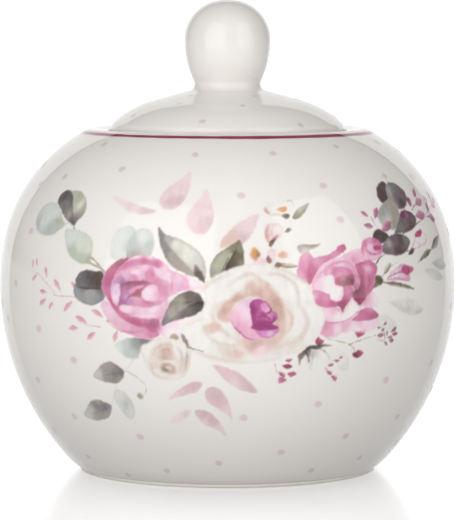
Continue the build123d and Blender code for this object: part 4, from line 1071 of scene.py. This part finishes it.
def lower_sprigs(p):
    """Berry sprigs, a pale leaf and a dark calyx under the right-hand rose."""
    p.leaf((25.4, -10.4), (29.1, -16.6), 1.5, "mist", "stone_light", fat_end=-0.2, strength=0.8)
    p.petal([(17.6, -11.0), (18.4, -14.4), (20.4, -16.0), (22.4, -14.2), (25.6, -14.2), (26.8, -12.0),
             (25.0, -10.2), (20.6, -9.8)],
            [("white", 20.0, -13.0), ("cream", 22.6, -12.0), ("white", 25.2, -12.4),
             ("cream_shade", 19.0, -11.6)], strength=0.8, soft=0.5)
    p.fold([(19.4, -10.8), (19.6, -13.2), (19.2, -15.6)], 0.25, "ash_pale", 0.7, 0.35)
    p.fold([(21.8, -10.6), (23.4, -12.2), (24.2, -13.6)], 0.25, "ash_pale", 0.6, 0.35)
    p.stroke([(22.2, -7.8), (23.8, -8.6), (27.6, -9.6), (29.6, -10.6), (30.8, -12.0)], 0.24, "twig", 0.75)
    p.stroke([(29.0, -9.9), (32.4, -9.0), (35.8, -8.3)], 0.2, "twig", 0.6)
    p.stroke([(36.6, -9.4), (38.2, -9.6), (39.8, -9.0)], 0.2, "twig", 0.7)
    p.petal([(29.8, -7.0), (31.0, -7.0), (32.8, -6.7), (32.4, -7.9), (31.2, -8.5), (30.4, -8.0)],
            [("berry", 31.6, -7.2), ("rose_dark", 31.0, -8), ("rose_deep", 32.2, -7.2)], soft=0.28)
    p.fold([(29.0, -6.5), (30.0, -6.9), (31.0, -7.4)], 0.25, "calyx", 0.8, 0.25)
    p.fold([(30.8, -5.8), (32.0, -6.0)], 0.3, "berry_pale", 0.7, 0.3)
    p.petal([(29.8, -12.0), (30.8, -11.8), (31.4, -11.4), (32.8, -12.1), (32.2, -12.8), (31.2, -13.2),
             (30.2, -12.8)],
            [("rose_dark", 31.4, -12.2), ("maroon", 30.8, -12.6), ("rose_deep", 32.2, -12.3)], soft=0.28)
    p.petal([(20.0, -8.8), (20.6, -7.9), (21.2, -8.4), (22.1, -8.9), (21.4, -9.6), (20.4, -9.6)],
            [("berry", 21, -8.8), ("rose_dark", 20.4, -9.2)], soft=0.28)
    p.sprig([(39.0, -9.2), (38.4, -8.0), (37.6, -6.6)],
            [(38.0, -6.2, 35, 1.2), (37.4, -6.8, 165, 1.3), (37.4, -7.4, 20, 1.2), (36.2, -8.4, 0, 2.2),
             (39.4, -8.8, 96, 1.5), (40.6, -8.0, 35, 2.0), (40.9, -8.4, 0, 2.0), (39.5, -9.0, -5, 1.8),
             (39.9, -9.5, -15, 2.0), (38.6, -9.8, -35, 1.8)], "rose_dark", "plum_grey")
    p.sprig([(10.8, -13.8), (11.4, -15.6), (12.6, -17.6)],
            [(13.0, -13.1, 8, 1.9), (12.4, -14.0, -30, 1.4), (13.2, -14.4, -5, 1.6),
             (11.8, -15.6, -38, 2.2), (12.2, -17.0, -20, 1.8), (13.8, -16.4, 10, 2.2)], "rose_dark",
            "berry_pale")
    p.petal([(13.0, -14.2), (14.0, -13.9), (14.8, -14.4), (13.8, -15.0)], [("rose_dark", 13.8, -14.4)],
            soft=0.25)
    p.petal([(13.9, -16.0), (15.2, -15.7), (16.0, -16.3), (14.9, -17.0), (14.2, -16.6)],
            [("berry", 15, -16.2), ("rose_deep", 14.4, -16.4)], soft=0.28)
    p.petal([(11.8, -17.1), (13.0, -17.0), (13.8, -17.8), (12.6, -18.2), (11.9, -18.1)],
            [("rose_deep", 12.6, -17.6), ("pink", 12.2, -18.0)], soft=0.28)
    p.sprig([(23.0, -15.0), (24.6, -16.6), (26.0, -18.0)],
            [(26.2, -13.0, 20, 1.2), (24.8, -13.4, -5, 1.8), (23.5, -14.6, 10, 1.7),
             (23.3, -15.8, -28, 2.0), (24.8, -17.0, -25, 2.0), (25.4, -17.2, -50, 1.6)], "rose_dark",
            "berry_pale")
    p.petal([(18.5, -10.1), (17.2, -10.8), (16.1, -12.0), (16.3, -13.0), (16.5, -14.2), (17.0, -12.8),
             (17.7, -12.0), (18.6, -11.2)],
            [("umber_dark", 18.0, -10.8), ("umber", 16.8, -11.8), ("calyx", 16.5, -13.4)], soft=0.3,
            strength=0.85)
    p.petal([(18.0, -10.4), (17.9, -11.6), (18.3, -12.6), (18.9, -13.6), (18.8, -12.0), (19.0, -10.8)],
            [("umber_dark", 18.4, -11.2), ("calyx", 18.7, -13.0)], soft=0.3, strength=0.85)
    p.petal([(17.7, -9.2), (18.4, -9.7), (20.0, -9.8), (21.4, -9.5), (24.2, -10.0), (22.0, -10.2),
             (20.6, -10.7), (18.9, -10.6), (17.9, -10.4)],
            [("umber_dark", 18.4, -10.2), ("umber_dark", 20.4, -10.2), ("calyx", 22.8, -10.0)], soft=0.28,
            strength=0.9)
    p.stroke([(20.4, -10.2), (21.6, -10.8), (22.8, -11.4)], 0.6, "calyx", 0.5, 0.7)
    p.petal([(18.2, -11.0), (20.8, -11.0), (21.2, -12.4), (19.4, -12.8)],
            [("ash", 19.4, -11.8), ("stone_light", 20.8, -12.2)], soft=0.6, strength=0.6)


def blossoms(p):
    """Small cream blossoms with orange centres, their twigs and a bud, above the cream rose."""
    p.petal([(9.0, 20.6), (9.8, 22.2), (11.8, 22.4), (13.2, 21.6), (12.4, 20.2), (10.4, 19.4)],
            [("white", 11.0, 21.2), ("white", 12.2, 21.8), ("cream_shade", 9.6, 20.4)], strength=0.8,
            soft=0.4)
    p.petal([(13.6, 21.4), (14.6, 23.0), (16.0, 22.6), (16.2, 21.0), (15.2, 19.8), (14.2, 20.4)],
            [("white", 15.0, 22.2), ("white", 15.4, 20.8)], strength=0.8, soft=0.4)
    p.fold([(9.0, 21.4), (9.3, 20.4), (10.2, 19.5)], 0.5, "tan", 0.8, 0.4)
    p.fold([(14.6, 22.8), (15.8, 22.9), (16.4, 21.6)], 0.25, "tan_blush", 0.7, 0.35)
    p.fold([(10.2, 19.4), (12.0, 19.6), (13.4, 19.2)], 0.3, "cream_line", 0.7, 0.4)
    p.petal([(11.8, 20.8), (13.0, 21.4), (14.4, 21.4), (14.3, 20.5), (13.2, 20.2), (12.4, 20.4)],
            [("orange", 13.4, 20.9), ("orange", 14.0, 20.6), ("tan_blush", 12.2, 20.8)], soft=0.3)
    p.petal([(13.0, 19.3), (14.0, 19.7), (14.8, 19.5), (14.6, 18.8), (13.6, 18.6)],
            [("calyx", 13.6, 19.0), ("umber", 14.4, 19.2)], soft=0.3)
    p.petal([(8.5, 15.6), (9.2, 17.2), (11.0, 17.4), (12.6, 17.0), (12.7, 15.4), (11.4, 14.0), (9.8, 12.9),
             (8.8, 13.8)],
            [("pink_white", 10.8, 16.2), ("blush", 9.6, 16.6), ("tan_blush", 9.0, 14.6),
             ("cream", 12.0, 16.0), ("blush", 10.6, 14.4)], rim="tan_blush", rim_share=0.6, soft=0.35)
    p.fold([(9.6, 17.2), (9.0, 15.8), (9.0, 14.2), (9.6, 12.9)], 0.35, "tan", 0.75, 0.35)
    p.fold([(10.6, 17.0), (10.2, 15.4), (10.4, 14.0)], 0.2, "tan_blush", 0.6, 0.35)
    p.petal([(9.3, 12.5), (9.8, 13.6), (11.0, 14.6), (11.6, 14.7), (10.8, 13.4), (10.0, 12.4)],
            [("calyx", 9.8, 13.0), ("tan", 11.0, 14.4), ("umber", 10.2, 13.4)], soft=0.28)
    p.petal([(13.2, 15.5), (14.2, 16.4), (14.9, 16.0), (14.2, 15.5)],
            [("umber", 14.2, 15.9), ("twig", 14.7, 16.0)], soft=0.3, strength=0.8)
    p.petal([(4.0, 12.0), (5.6, 12.8), (7.4, 12.0), (8.6, 10.2), (7.8, 8.2), (5.6, 7.8), (4.2, 9.4)],
            [("white", 5, 12), ("white", 7.6, 9.8), ("pink_white", 6, 8.4)], strength=0.7, soft=0.5)
    p.petal([(5.2, 8.2), (6.0, 9.6), (7.6, 9.9), (8.6, 9.0), (8.0, 7.8), (6.2, 7.6)],
            [("blush", 6.4, 8.8), ("petal_wash", 7.8, 9.0)], soft=0.4, strength=0.85)
    p.petal([(5.1, 10.0), (5.4, 11.6), (6.2, 12.0), (7.4, 10.6), (6.6, 9.6), (5.8, 9.3)],
            [("orange", 6.1, 10.8), ("tan_blush", 5.4, 10.0), ("calyx", 7.0, 10.5), ("orange", 5.9, 11.2)],
            soft=0.45)
    p.petal([(8.9, 9.0), (9.0, 11.2), (10.2, 12.0), (11.2, 11.0), (10.8, 9.2), (10.0, 8.4)],
            [("petal_wash", 10.0, 11.2), ("stone_light", 10.4, 9.6), ("blush", 9.4, 10)], soft=0.45,
            strength=0.85)
    p.petal([(8.5, 9.7), (9.2, 10.2), (9.8, 9.4), (9.6, 8.6), (8.9, 8.8)],
            [("heart", 8.9, 9.6), ("calyx", 9.4, 9.0)], soft=0.3, strength=0.85)
    p.petal([(10.8, 10.0), (11.8, 11.6), (13.6, 11.8), (14.9, 10.4), (13.6, 9.2), (11.8, 9.0)],
            [("white", 13.4, 10.8), ("pink_white", 12, 9.6)], strength=0.8, soft=0.45)
    p.petal([(11.3, 10.3), (12.2, 11.1), (13.3, 10.9), (13.4, 10.0), (12.2, 9.6)],
            [("orange", 12.1, 10.6), ("tan_blush", 13.0, 10.4)], soft=0.45, strength=0.8)
    p.leaf((15.6, 18.5), (20.3, 22.2), 0.9, "twig", "olive_light", dark_foot="olive", fat_end=0.4)
    p.petal([(16.0, 12.2), (17.6, 12.6), (19.6, 12.4), (21.7, 12.7), (20.2, 11.8), (19.0, 11.4),
             (18.2, 10.6), (17.0, 10.4), (16.3, 11.0)],
            [("stone", 16.6, 12.0), ("cream_shade", 17.6, 11.2), ("twig", 19.4, 11.9),
             ("stone", 18.0, 12.3)], soft=0.3, strength=0.8)
    p.fold([(17.0, 12.5), (19.0, 12.3), (21.0, 12.4)], 0.2, "calyx", 0.6, 0.3)
    p.leaf((10.4, 8.1), (16.2, 7.8), 0.6, "twig", "cream_line", bow=0.1, dark_foot="calyx")
    p.petal([(10.4, 8.0), (11.0, 8.7), (12.0, 8.4), (11.6, 7.7), (10.8, 7.4)], [("calyx", 11, 8)], soft=0.3)


def small_rose(p):
    """A small cream rose at the lower left."""
    p.petal([(-20.0, -10.6), (-18.0, -9.0), (-15.6, -7.9), (-12.0, -7.6), (-9.2, -8.6), (-8.2, -11.0),
             (-8.8, -14.8), (-10.6, -17.0), (-13.6, -17.6), (-16.8, -17.0), (-18.8, -14.6)],
            [("white", -18.0, -11.0), ("cream", -14.0, -9.0), ("white", -10.4, -9.8),
             ("cream", -17.0, -15.8), ("white", -12.6, -16.8), ("cream_shade", -9.6, -13.6)],
            rim="cream_line", rim_share=0.35, rim_width=0.4, soft=0.45)
    p.petal([(-17.2, -10.4), (-15.0, -8.8), (-12.0, -8.3), (-10.2, -9.0), (-9.3, -11.0), (-9.6, -14.0),
             (-10.4, -16.0), (-13.0, -16.5), (-15.4, -16.2), (-17.4, -14.8), (-17.8, -12.4)],
            [("cream_shade", -14.0, -9.6), ("white", -11.2, -10.8), ("cream_shade", -16.6, -12.2),
             ("cream_line", -14.0, -12.6), ("cream_shade", -11.6, -14.8), ("cream", -16.4, -15.4)],
            soft=0.6, strength=0.8)
    p.petal([(-16.0, -11.4), (-15.0, -9.9), (-13.2, -9.8), (-12.2, -11.0), (-12.4, -12.8), (-13.8, -13.4),
             (-15.6, -12.8)],
            [("tan", -14.2, -11.2), ("tan_blush", -13.0, -12.6), ("cream_line", -15.6, -11.2),
             ("tan", -14.0, -12.4)], soft=0.8, strength=0.7)
    p.petal([(-15.3, -14.2), (-13.8, -13.7), (-12.1, -14.2), (-12.0, -15.8), (-13.6, -16.0),
             (-15.2, -15.6)],
            [("calyx", -14.5, -15.0), ("tan", -12.6, -15.4), ("tan", -14.8, -14.3),
             ("cream_line", -13.4, -15.0)], soft=0.45, strength=0.8)
    p.petal([(-17.8, -13.8), (-16.6, -13.5), (-15.6, -14.2), (-16.2, -15.0), (-17.6, -14.9)],
            [("tan_blush", -16.9, -14.2), ("cream_line", -16.2, -14.6)], soft=0.5, strength=0.6)
    p.fold([(-15.8, -13.9), (-14.2, -13.2), (-12.4, -13.4), (-11.4, -14.2)], 0.35, "white", 0.8, 0.35)
    p.fold([(-14.6, -15.0), (-13.6, -14.6), (-12.8, -15.0)], 0.25, "cream", 0.7, 0.3)
    p.fold([(-15.0, -14.6), (-14.2, -15.2), (-13.4, -15.6)], 0.2, "calyx", 0.7, 0.3)
    p.fold([(-17.0, -11.8), (-15.8, -10.0), (-13.4, -9.3), (-11.6, -10.2)], 0.3, "cream_line", 0.8, 0.45)
    p.fold([(-15.0, -12.4), (-14.6, -10.8), (-13.4, -10.6), (-12.8, -11.6)], 0.2, "tan", 0.6, 0.35)
    p.fold([(-11.4, -9.6), (-10.3, -11.6), (-10.4, -14.0), (-11.2, -15.8)], 0.4, "cream_line", 0.8, 0.5)
    p.fold([(-9.0, -9.8), (-9.2, -12.4), (-9.8, -15.4)], 0.3, "twig", 0.5, 0.5)
    p.fold([(-18.4, -12.0), (-17.8, -14.6), (-16.4, -16.8), (-13.4, -17.2)], 0.35, "cream_line", 0.6, 0.45)


def small_sepals(p):
    """The small rose's sepals, which lie over its neighbours."""
    p.petal([(-12.8, -7.8), (-12.0, -6.9), (-11.0, -7.6), (-11.4, -8.3)],
            [("twig", -11.8, -7.6), ("calyx", -11.2, -7.8)], soft=0.35, strength=0.8)
    p.petal([(-10.2, -7.0), (-9.4, -7.5), (-8.6, -9.2), (-8.8, -9.8), (-9.8, -8.6)],
            [("calyx", -9.6, -8.0), ("umber", -8.9, -9.2)], soft=0.3, strength=0.85)
    p.stroke([(-8.9, -9.9), (-7.4, -10.3), (-5.4, -10.8)], 0.5, "olive", 0.7)


def paint_spray(p):
    """The whole spray, from the washes at the back to the petals at the front."""
    pink_washes(p)
    left_leaves(p)
    left_sprigs(p)
    right_leaves(p)
    right_sprigs(p)
    lower_sprigs(p)
    blossoms(p)
    olive_leaves(p)
    small_rose(p)
    left_rose(p)
    right_bud(p)
    right_rose(p)
    cream_rose(p)
    dark_leaf(p)
    small_sepals(p)


# ---------------------------------------------------------------- print layout, in mm on the wall

DOT_INK = (225, 203, 209)
RIM_INK = (140, 38, 66)
RIM_LINE_LENGTH, RIM_LINE_WIDTH = 2.0, 1.15
SPRAY_LOW, SPRAY_HIGH = (-60.0, -34.0), (96.0, 32.0)
BOWL_DOT = (1.1, 0.85)   # half widths across and down
BOWL_DOTS = [
    (-45.7, 38.7), (-9.8, 35.9), (14.0, 36.3), (38.0, 38.2), (-31.0, 31.0), (-51.4, 28.0), (-63.0, 25.6),
    (25.7, 26.5), (49.0, 28.3), (3.4, 24.3), (-55.7, 14.0), (27.8, 18.0), (64.8, 27.3), (-60.0, 1.7),
    (-49.8, -7.8), (-67.7, -7.0), (-38.7, -14.2), (-55.5, -20.4), (-44.6, -28.8), (-24.0, -32.7),
    (-60.9, -34.2), (-49.0, -40.8), (-19.1, -42.8), (-35.0, -45.5), (-2.6, -39.8), (4.0, -26.8),
    (22.7, -23.9), (15.3, -36.7), (34.1, -33.2), (27.3, -43.2), (45.3, -40.8), (41.8, -19.2),
    (53.0, -29.7), (61.5, -16.8), (71.5, -4.5), (81.0, 5.5), (74.5, -25.0), (66.5, -38.5), (86.5, -15.0),
    (84.0, -33.5), (79.0, 35.0), (92.0, 30.5), (64.5, 39.0), (93.0, -4.0), (76.0, 12.5),
]
# On the lid, across is a turn from the front in hundredths of the circle, and down is mm along the dome.
LID_DOT = (0.5, 0.75)
LID_DOTS = [
    (-3.6, 18.0), (10.8, 19.5), (2.9, 11.1), (-10.3, 10.1), (-17.8, 16.6), (21.5, 8.2), (24.0, 17.6),
    (-27.5, 6.8), (-29.8, 15.4), (35.2, 13.0), (44.6, 18.4), (49.5, 7.4), (-38.5, 18.2), (-43.0, 11.0),
    (8.0, 4.4), (-12.0, 4.0), (31.0, 4.6),
]


# ---------------------------------------------------------------- fired-on print

def grown(mask, cells):
    """The mask spread by this many cells in every direction."""
    for _ in range(cells):
        wide = mask.copy()
        wide[1:] |= mask[:-1]
        wide[:-1] |= mask[1:]
        wide[:, 1:] |= mask[:, :-1]
        wide[:, :-1] |= mask[:, 1:]
        mask = wide
    return mask


def film(name, low, high, paint, start):
    """A thin film of print on the bowl's wall over the box low to high in (s, t), kept only near ink.
    start turns it round the bowl, in mm along the belly."""
    s_line = np.arange(low[0], high[0], FILM_STEP)
    t_line = np.arange(low[1], high[1], FILM_STEP)
    s_grid, t_grid = np.meshgrid(s_line, t_line, indexing="ij")
    sheet = Print(s_grid.ravel(), t_grid.ravel())
    paint(sheet)
    near = grown((sheet.cover > LEAST_INK).reshape(s_grid.shape), FILM_MARGIN)
    cell = near[:-1, :-1] & near[1:, :-1] & near[1:, 1:] & near[:-1, 1:]
    number = np.arange(s_grid.size).reshape(s_grid.shape)
    quads = np.stack([number[:-1, :-1], number[1:, :-1], number[1:, 1:], number[:-1, 1:]], -1)[cell]
    used, flat = np.unique(quads.ravel(), return_inverse=True)
    verts = wall_points(sheet.s[used] + start, sheet.t[used], PRINT_LIFT)
    return printed_skin(name, verts.tolist(), flat.reshape(-1, 4).tolist(), sheet.rgb[used])


def dot_film(name, places, points_at, half_widths):
    """Small soft-edged dots of pink on a surface. Places are pairs that points_at turns into points;
    half_widths are a dot's, in the same measures."""
    across, down = half_widths
    reach = np.array([0.0, 0.35, 0.7, 0.9, 1.05, 1.25])
    depth = np.array([0.95, 0.92, 0.85, 0.55, 0.18, 0.0])
    spokes = 24
    verts, faces, rgb = [], [], []
    ink, paper = np.array(DOT_INK, float), np.array(PAPER, float)
    for x, y in places:
        first = len(verts)
        for k in range(len(reach)):
            turns = 2 * np.pi * np.arange(spokes if k else 1) / spokes
            wobble = 1.0 + 0.05 * np.sin(2 * turns + x) + 0.03 * np.sin(3 * turns + y)
            xs = x + across * reach[k] * np.cos(turns) * wobble
            ys = y + down * reach[k] * np.sin(turns) * wobble
            verts += points_at(xs, ys).tolist()
            rgb += [paper + (ink - paper) * depth[k]] * len(turns)
        for k in range(spokes):
            n = (k + 1) % spokes
            faces.append((first, first + 1 + k, first + 1 + n))
            for ring in range(len(reach) - 2):
                a, b = first + 1 + ring * spokes, first + 1 + (ring + 1) * spokes
                faces.append((a + k, b + k, b + n, a + n))
    return printed_skin(name, verts, faces, np.array(rgb))


def rim_line(name, length, width):
    """The hand-banded line on the shoulder: length down the skin from the lip's crest, in mm."""
    turns = np.linspace(0, 2 * np.pi, 2 * SEGMENTS, endpoint=False)
    rows = np.array([-0.62, -0.5, -0.36, 0.0, 0.36, 0.5, 0.62])
    depth = np.array([0.0, 0.45, 0.95, 1.0, 0.95, 0.45, 0.0])
    brush = 1 + 0.10 * np.sin(3 * turns + 0.6) + 0.06 * np.sin(11 * turns) + 0.05 * np.sin(29 * turns + 1.3)
    sway = 0.05 * np.sin(2 * turns + 1.0) + 0.02 * np.sin(7 * turns)
    load = 1 - 0.05 * (1 + np.sin(5 * turns + 0.4) * np.sin(17 * turns))
    verts, rgb, faces = [], [], []
    ink, paper = np.array(RIM_INK, float), np.array(PAPER, float)
    for k, row in enumerate(rows):
        half = bowl_skin.at(length + sway + row * width * brush, PRINT_LIFT)
        verts += round_axis(half, turns).tolist()
        rgb += (paper + (ink - paper) * (depth[k] * load)[:, None]).tolist()
    count = len(turns)
    for k in range(len(rows) - 1):
        for i in range(count):
            n = (i + 1) % count
            faces.append((k * count + i, (k + 1) * count + i, (k + 1) * count + n, k * count + n))
    return printed_skin(name, verts, faces, np.array(rgb))


# ---------------------------------------------------------------- finishes

class Finish:
    """A node material, with short names for the nodes that it needs."""

    def __init__(self, name):
        self.material = bpy.data.materials.new(name)
        self.material.use_nodes = True
        self.nodes = self.material.node_tree.nodes
        self.links = self.material.node_tree.links
        self.shader = self.nodes["Principled BSDF"]
        self.place = self.nodes.new("ShaderNodeTexCoord").outputs["Object"]

    def join(self, source, target):
        self.links.new(source, target)

    def noise(self, scale, detail):
        """Cloudy noise from 0 to 1, its lumps about one part in scale of a metre across."""
        node = self.nodes.new("ShaderNodeTexNoise")
        node.inputs["Scale"].default_value = scale
        node.inputs["Detail"].default_value = detail
        self.join(self.place, node.inputs["Vector"])
        return node.outputs["Fac"]

    def reach(self, forward):
        """Distance, in metres, from a point that lies this far in front of the axis of the object."""
        node = self.nodes.new("ShaderNodeVectorMath")
        node.operation = "DISTANCE"
        node.inputs[1].default_value = (0.0, -forward, 0.0)
        self.join(self.place, node.inputs[0])
        return node.outputs["Value"]

    def ramp(self, value, across, to):
        """A smooth step between the two values of to, as the value runs across."""
        node = self.nodes.new("ShaderNodeMapRange")
        node.interpolation_type = "SMOOTHSTEP"
        node.inputs["From Min"].default_value, node.inputs["From Max"].default_value = across
        node.inputs["To Min"].default_value, node.inputs["To Max"].default_value = to
        self.join(value, node.inputs["Value"])
        return node.outputs["Result"]

    def blend(self, value, low, high):
        """A colour from low to high, each linear."""
        node = self.nodes.new("ShaderNodeMix")
        node.data_type = "RGBA"
        node.inputs["A"].default_value = (*low, 1)
        node.inputs["B"].default_value = (*high, 1)
        self.join(value, node.inputs["Factor"])
        return node.outputs["Result"]

    def times(self, first, second):
        """One colour times another."""
        node = self.nodes.new("ShaderNodeMix")
        node.data_type = "RGBA"
        node.blend_type = "MULTIPLY"
        node.inputs["Factor"].default_value = 1.0
        self.join(first, node.inputs["A"])
        self.join(second, node.inputs["B"])
        return node.outputs["Result"]

    def sum(self, first, second, share):
        """The first value plus this share of the second."""
        node = self.nodes.new("ShaderNodeMath")
        node.operation = "MULTIPLY_ADD"
        node.inputs[1].default_value = share
        self.join(second, node.inputs[0])
        self.join(first, node.inputs[2])
        return node.outputs["Value"]

    def bump(self, height, strength, distance):
        """Relief on the surface, its full height a distance in metres."""
        node = self.nodes.new("ShaderNodeBump")
        node.inputs["Strength"].default_value = strength
        node.inputs["Distance"].default_value = distance
        self.join(height, node.inputs["Height"])
        self.join(node.outputs["Normal"], self.shader.inputs["Normal"])


def glaze(name, printed=False, tone=1.0):
    """Clear gloss glaze over off-white porcelain; with printed, the ink attribute shows through it. A factor
    below 1 darkens the whole glaze as painted shade.
    """
    f = Finish(name)
    body = linear(PAPER) * tone
    cloudy = f.blend(f.noise(45.0, 3.0), tuple(body * 0.985), tuple(np.minimum(body * 1.015, 1.0)))
    if printed:
        ink = f.nodes.new("ShaderNodeAttribute")
        ink.attribute_name = "ink"
        cloudy = f.times(cloudy, ink.outputs["Color"])
    f.join(cloudy, f.shader.inputs["Base Color"])
    f.join(f.ramp(f.noise(120.0, 2.0), (0.3, 0.7), (0.02, 0.035)), f.shader.inputs["Roughness"])
    f.shader.inputs["IOR"].default_value = 1.52
    ripple = f.sum(f.noise(70.0, 1.0), f.noise(900.0, 1.0), 0.012)
    f.bump(ripple, 0.25, 0.00008)
    return f.material


def bisque(name):
    """Unglazed, fired porcelain: matt, a little warmer, with a fine tooth."""
    f = Finish(name)
    warm = linear((231, 224, 212))
    f.join(f.blend(f.noise(260.0, 4.0), tuple(warm * 0.93), tuple(warm)), f.shader.inputs["Base Color"])
    f.join(f.ramp(f.noise(700.0, 2.0), (0.3, 0.7), (0.6, 0.75)), f.shader.inputs["Roughness"])
    f.bump(f.noise(2600.0, 3.0), 0.5, 0.00005)
    return f.material


def give(obj, *materials):
    """Add the materials to the object's slots, in order."""
    for material in materials:
        obj.data.materials.append(material)


def faces_where(obj, index, test):
    """Give the material of this index to the faces whose middle (radius, height in mm) passes the test."""
    for face in obj.data.polygons:
        c = face.center
        if test(math.hypot(c.x, c.y) / MM, c.z / MM):
            face.material_index = index


# ---------------------------------------------------------------- the object

BARE_FOOT_HEIGHT = 0.4   # the standing face and its edges are wiped free of glaze
BARE_SEAT_DEPTH = 0.15   # so is the lid's face that rests in the mouth
KNOB_PAINTED_SHADE = 0.955        # the knob's glaze darkened against the body's, as painted shade
HALF_TURN = math.pi * BELLY_RADIUS

glazed = glaze("porcelain_glaze")
printed = glaze("porcelain_print", printed=True)
unglazed = bisque("porcelain_bisque")

bowl = turned("bowl_body", bowl_section())
flip_if_inside_out(bowl)
give(bowl, glazed, unglazed)
faces_where(bowl, 1, lambda r, z: z < BARE_FOOT_HEIGHT)
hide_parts("bowl")
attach(bowl, "bowl")

lid = turned("lid_dome", lid_section(), closed=True)
flip_if_inside_out(lid)
give(lid, glazed, unglazed)
faces_where(lid, 1, lambda r, z: abs(z - SEAT_HEIGHT) < BARE_SEAT_DEPTH and r > COLLAR_RADIUS - 0.1)
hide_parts("lid")
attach(lid, "lid")

knob = turned("knob", knob_section())
flip_if_inside_out(knob)
# the knob gets a darker copy of the body's glaze: painted shade
give(knob, glaze("porcelain_knob", tone=KNOB_PAINTED_SHADE))
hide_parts("lid_knob")
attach(knob, "lid")

for side, start in (("front", 0.0), ("back", HALF_TURN)):
    spray = film(f"print_{side}", SPRAY_LOW, SPRAY_HIGH, paint_spray, start)
    give(spray, printed)
    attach(spray, "bowl")

dots = [(s + start, t) for start in (0.0, HALF_TURN) for s, t in BOWL_DOTS]
bowl_dots = dot_film("bowl_dots", dots, lambda s, t: wall_points(s, t, DOT_LIFT), BOWL_DOT)
lid_dots = dot_film("lid_dots", LID_DOTS, lambda s, t: dome_points(s * 360 / 100, t, DOT_LIFT), LID_DOT)
band = rim_line("rim_line", RIM_LINE_LENGTH, RIM_LINE_WIDTH)
for piece, body, slot in ((bowl_dots, "bowl", "bowl_porcelain"), (lid_dots, "lid", "lid_porcelain"),
                          (band, "bowl", "bowl_porcelain")):
    give(piece, printed)
    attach(piece, body)


# ---------------------------------------------------------------- studio

scene = bpy.context.scene
scene.view_settings.view_transform = "Standard"
scene.view_settings.look = "None"
SOFTBOX_FOOT, SOFTBOX_TOP = 0.01, 0.62


def area_light(name, width, height, radiance):
    """A soft panel of even light that the camera doesn't see."""
    data = bpy.data.lights.new(name, "AREA")
    data.shape = "RECTANGLE"
    data.size, data.size_y = width, height
    data.energy = radiance * math.pi * width * height
    lamp = bpy.data.objects.new(name, data)
    lamp.visible_camera = False
    bpy.context.collection.objects.link(lamp)
    return lamp


def softbox(name, turn, distance, width, radiance):
    """An upright panel that faces the object; turn is in degrees from the front, to the right."""
    lamp = area_light(name, width, SOFTBOX_TOP - SOFTBOX_FOOT, radiance)
    a = math.radians(turn)
    lamp.location = (distance * math.sin(a), -distance * math.cos(a), 0.5 * (SOFTBOX_FOOT + SOFTBOX_TOP))
    lamp.rotation_euler = (math.radians(90), 0, a)
    return lamp


softbox("softbox_left", -34, 0.45, 0.465, 1.3)
softbox("softbox_right", 50, 0.45, 0.364, 1.25)
# more light from the left, which keeps the window there faint in the glaze
softbox("fill_left", -34, 0.44, 0.465, 0.5).visible_glossy = False

# a white card low in front of the object lightens its lower half
card = area_light("front_card", 0.40, 0.30, 1.1)
card.location = (0.0, -0.30, 0.012)
card.rotation_euler = (math.radians(180 - 25), 0, 0)
card.visible_glossy = False

world = bpy.data.worlds.new("studio")
scene.world = world
world.use_nodes = True
tree = world.node_tree
ground = tree.nodes["Background"]
where = tree.nodes.new("ShaderNodeTexCoord")
axes = tree.nodes.new("ShaderNodeSeparateXYZ")
tree.links.new(where.outputs["Generated"], axes.inputs["Vector"])


def studio_wall(across, to):
    """Strength of the surroundings by how far back they lie: 0 beside the object, 1 behind it."""
    node = tree.nodes.new("ShaderNodeMapRange")
    node.interpolation_type = "SMOOTHSTEP"
    node.inputs["From Min"].default_value, node.inputs["From Max"].default_value = across
    node.inputs["To Min"].default_value, node.inputs["To Max"].default_value = to
    tree.links.new(axes.outputs["Y"], node.inputs["Value"])
    return node


gap = studio_wall((0.762, 0.774), (0.30, 0.12))   # a dim gap between the walls and the backdrop
backdrop = studio_wall((0.786, 0.798), (0.12, 1.08))
tree.links.new(gap.outputs["Result"], backdrop.inputs["To Min"])
tree.links.new(backdrop.outputs["Result"], ground.inputs["Strength"])
ground.inputs["Color"].default_value = (1.0, 0.995, 0.985, 1)

# the table glows a little, light painted into its surface, and least round the foot, where the weaker glow is
# a painted shadow; its light reaches the object only in reflections
bpy.ops.mesh.primitive_plane_add(size=16.0, location=(0, 0, 0))
table = bpy.context.object
table.name = "table_top"
top = Finish("table_white")
white = top.blend(top.noise(3.0, 2.0), (0.86, 0.86, 0.86), (0.88, 0.88, 0.88))
top.join(white, top.shader.inputs["Base Color"])
top.shader.inputs["Roughness"].default_value = 0.12
top.shader.inputs["Specular IOR Level"].default_value = 0.5
top.shader.inputs["Emission Color"].default_value = (1.0, 1.0, 1.0, 1)
# painted light: glow that rises away from the foot, which leaves a painted shadow round it
painted_glow_and_shadow = top.ramp(top.reach(0.03), (0.0, 0.06), (0.14, 0.36))
top.join(painted_glow_and_shadow, top.shader.inputs["Emission Strength"])
table.visible_diffuse = False
give(table, top.material)

CAMERA_DISTANCE, CAMERA_HEIGHT = 0.8, 0.11172
CAMERA_DIP = 4.51   # degrees below level
CAMERA_LENS = 238.1
camera = bpy.data.objects.new("camera", bpy.data.cameras.new("camera"))
bpy.context.collection.objects.link(camera)
camera.location = (0.0, -CAMERA_DISTANCE, CAMERA_HEIGHT)
camera.rotation_euler = (math.radians(90 - CAMERA_DIP), 0, 0)
camera.data.lens = CAMERA_LENS
camera.data.sensor_width = 36.0
camera.data.clip_start, camera.data.clip_end = 0.05, 60.0
scene.camera = camera
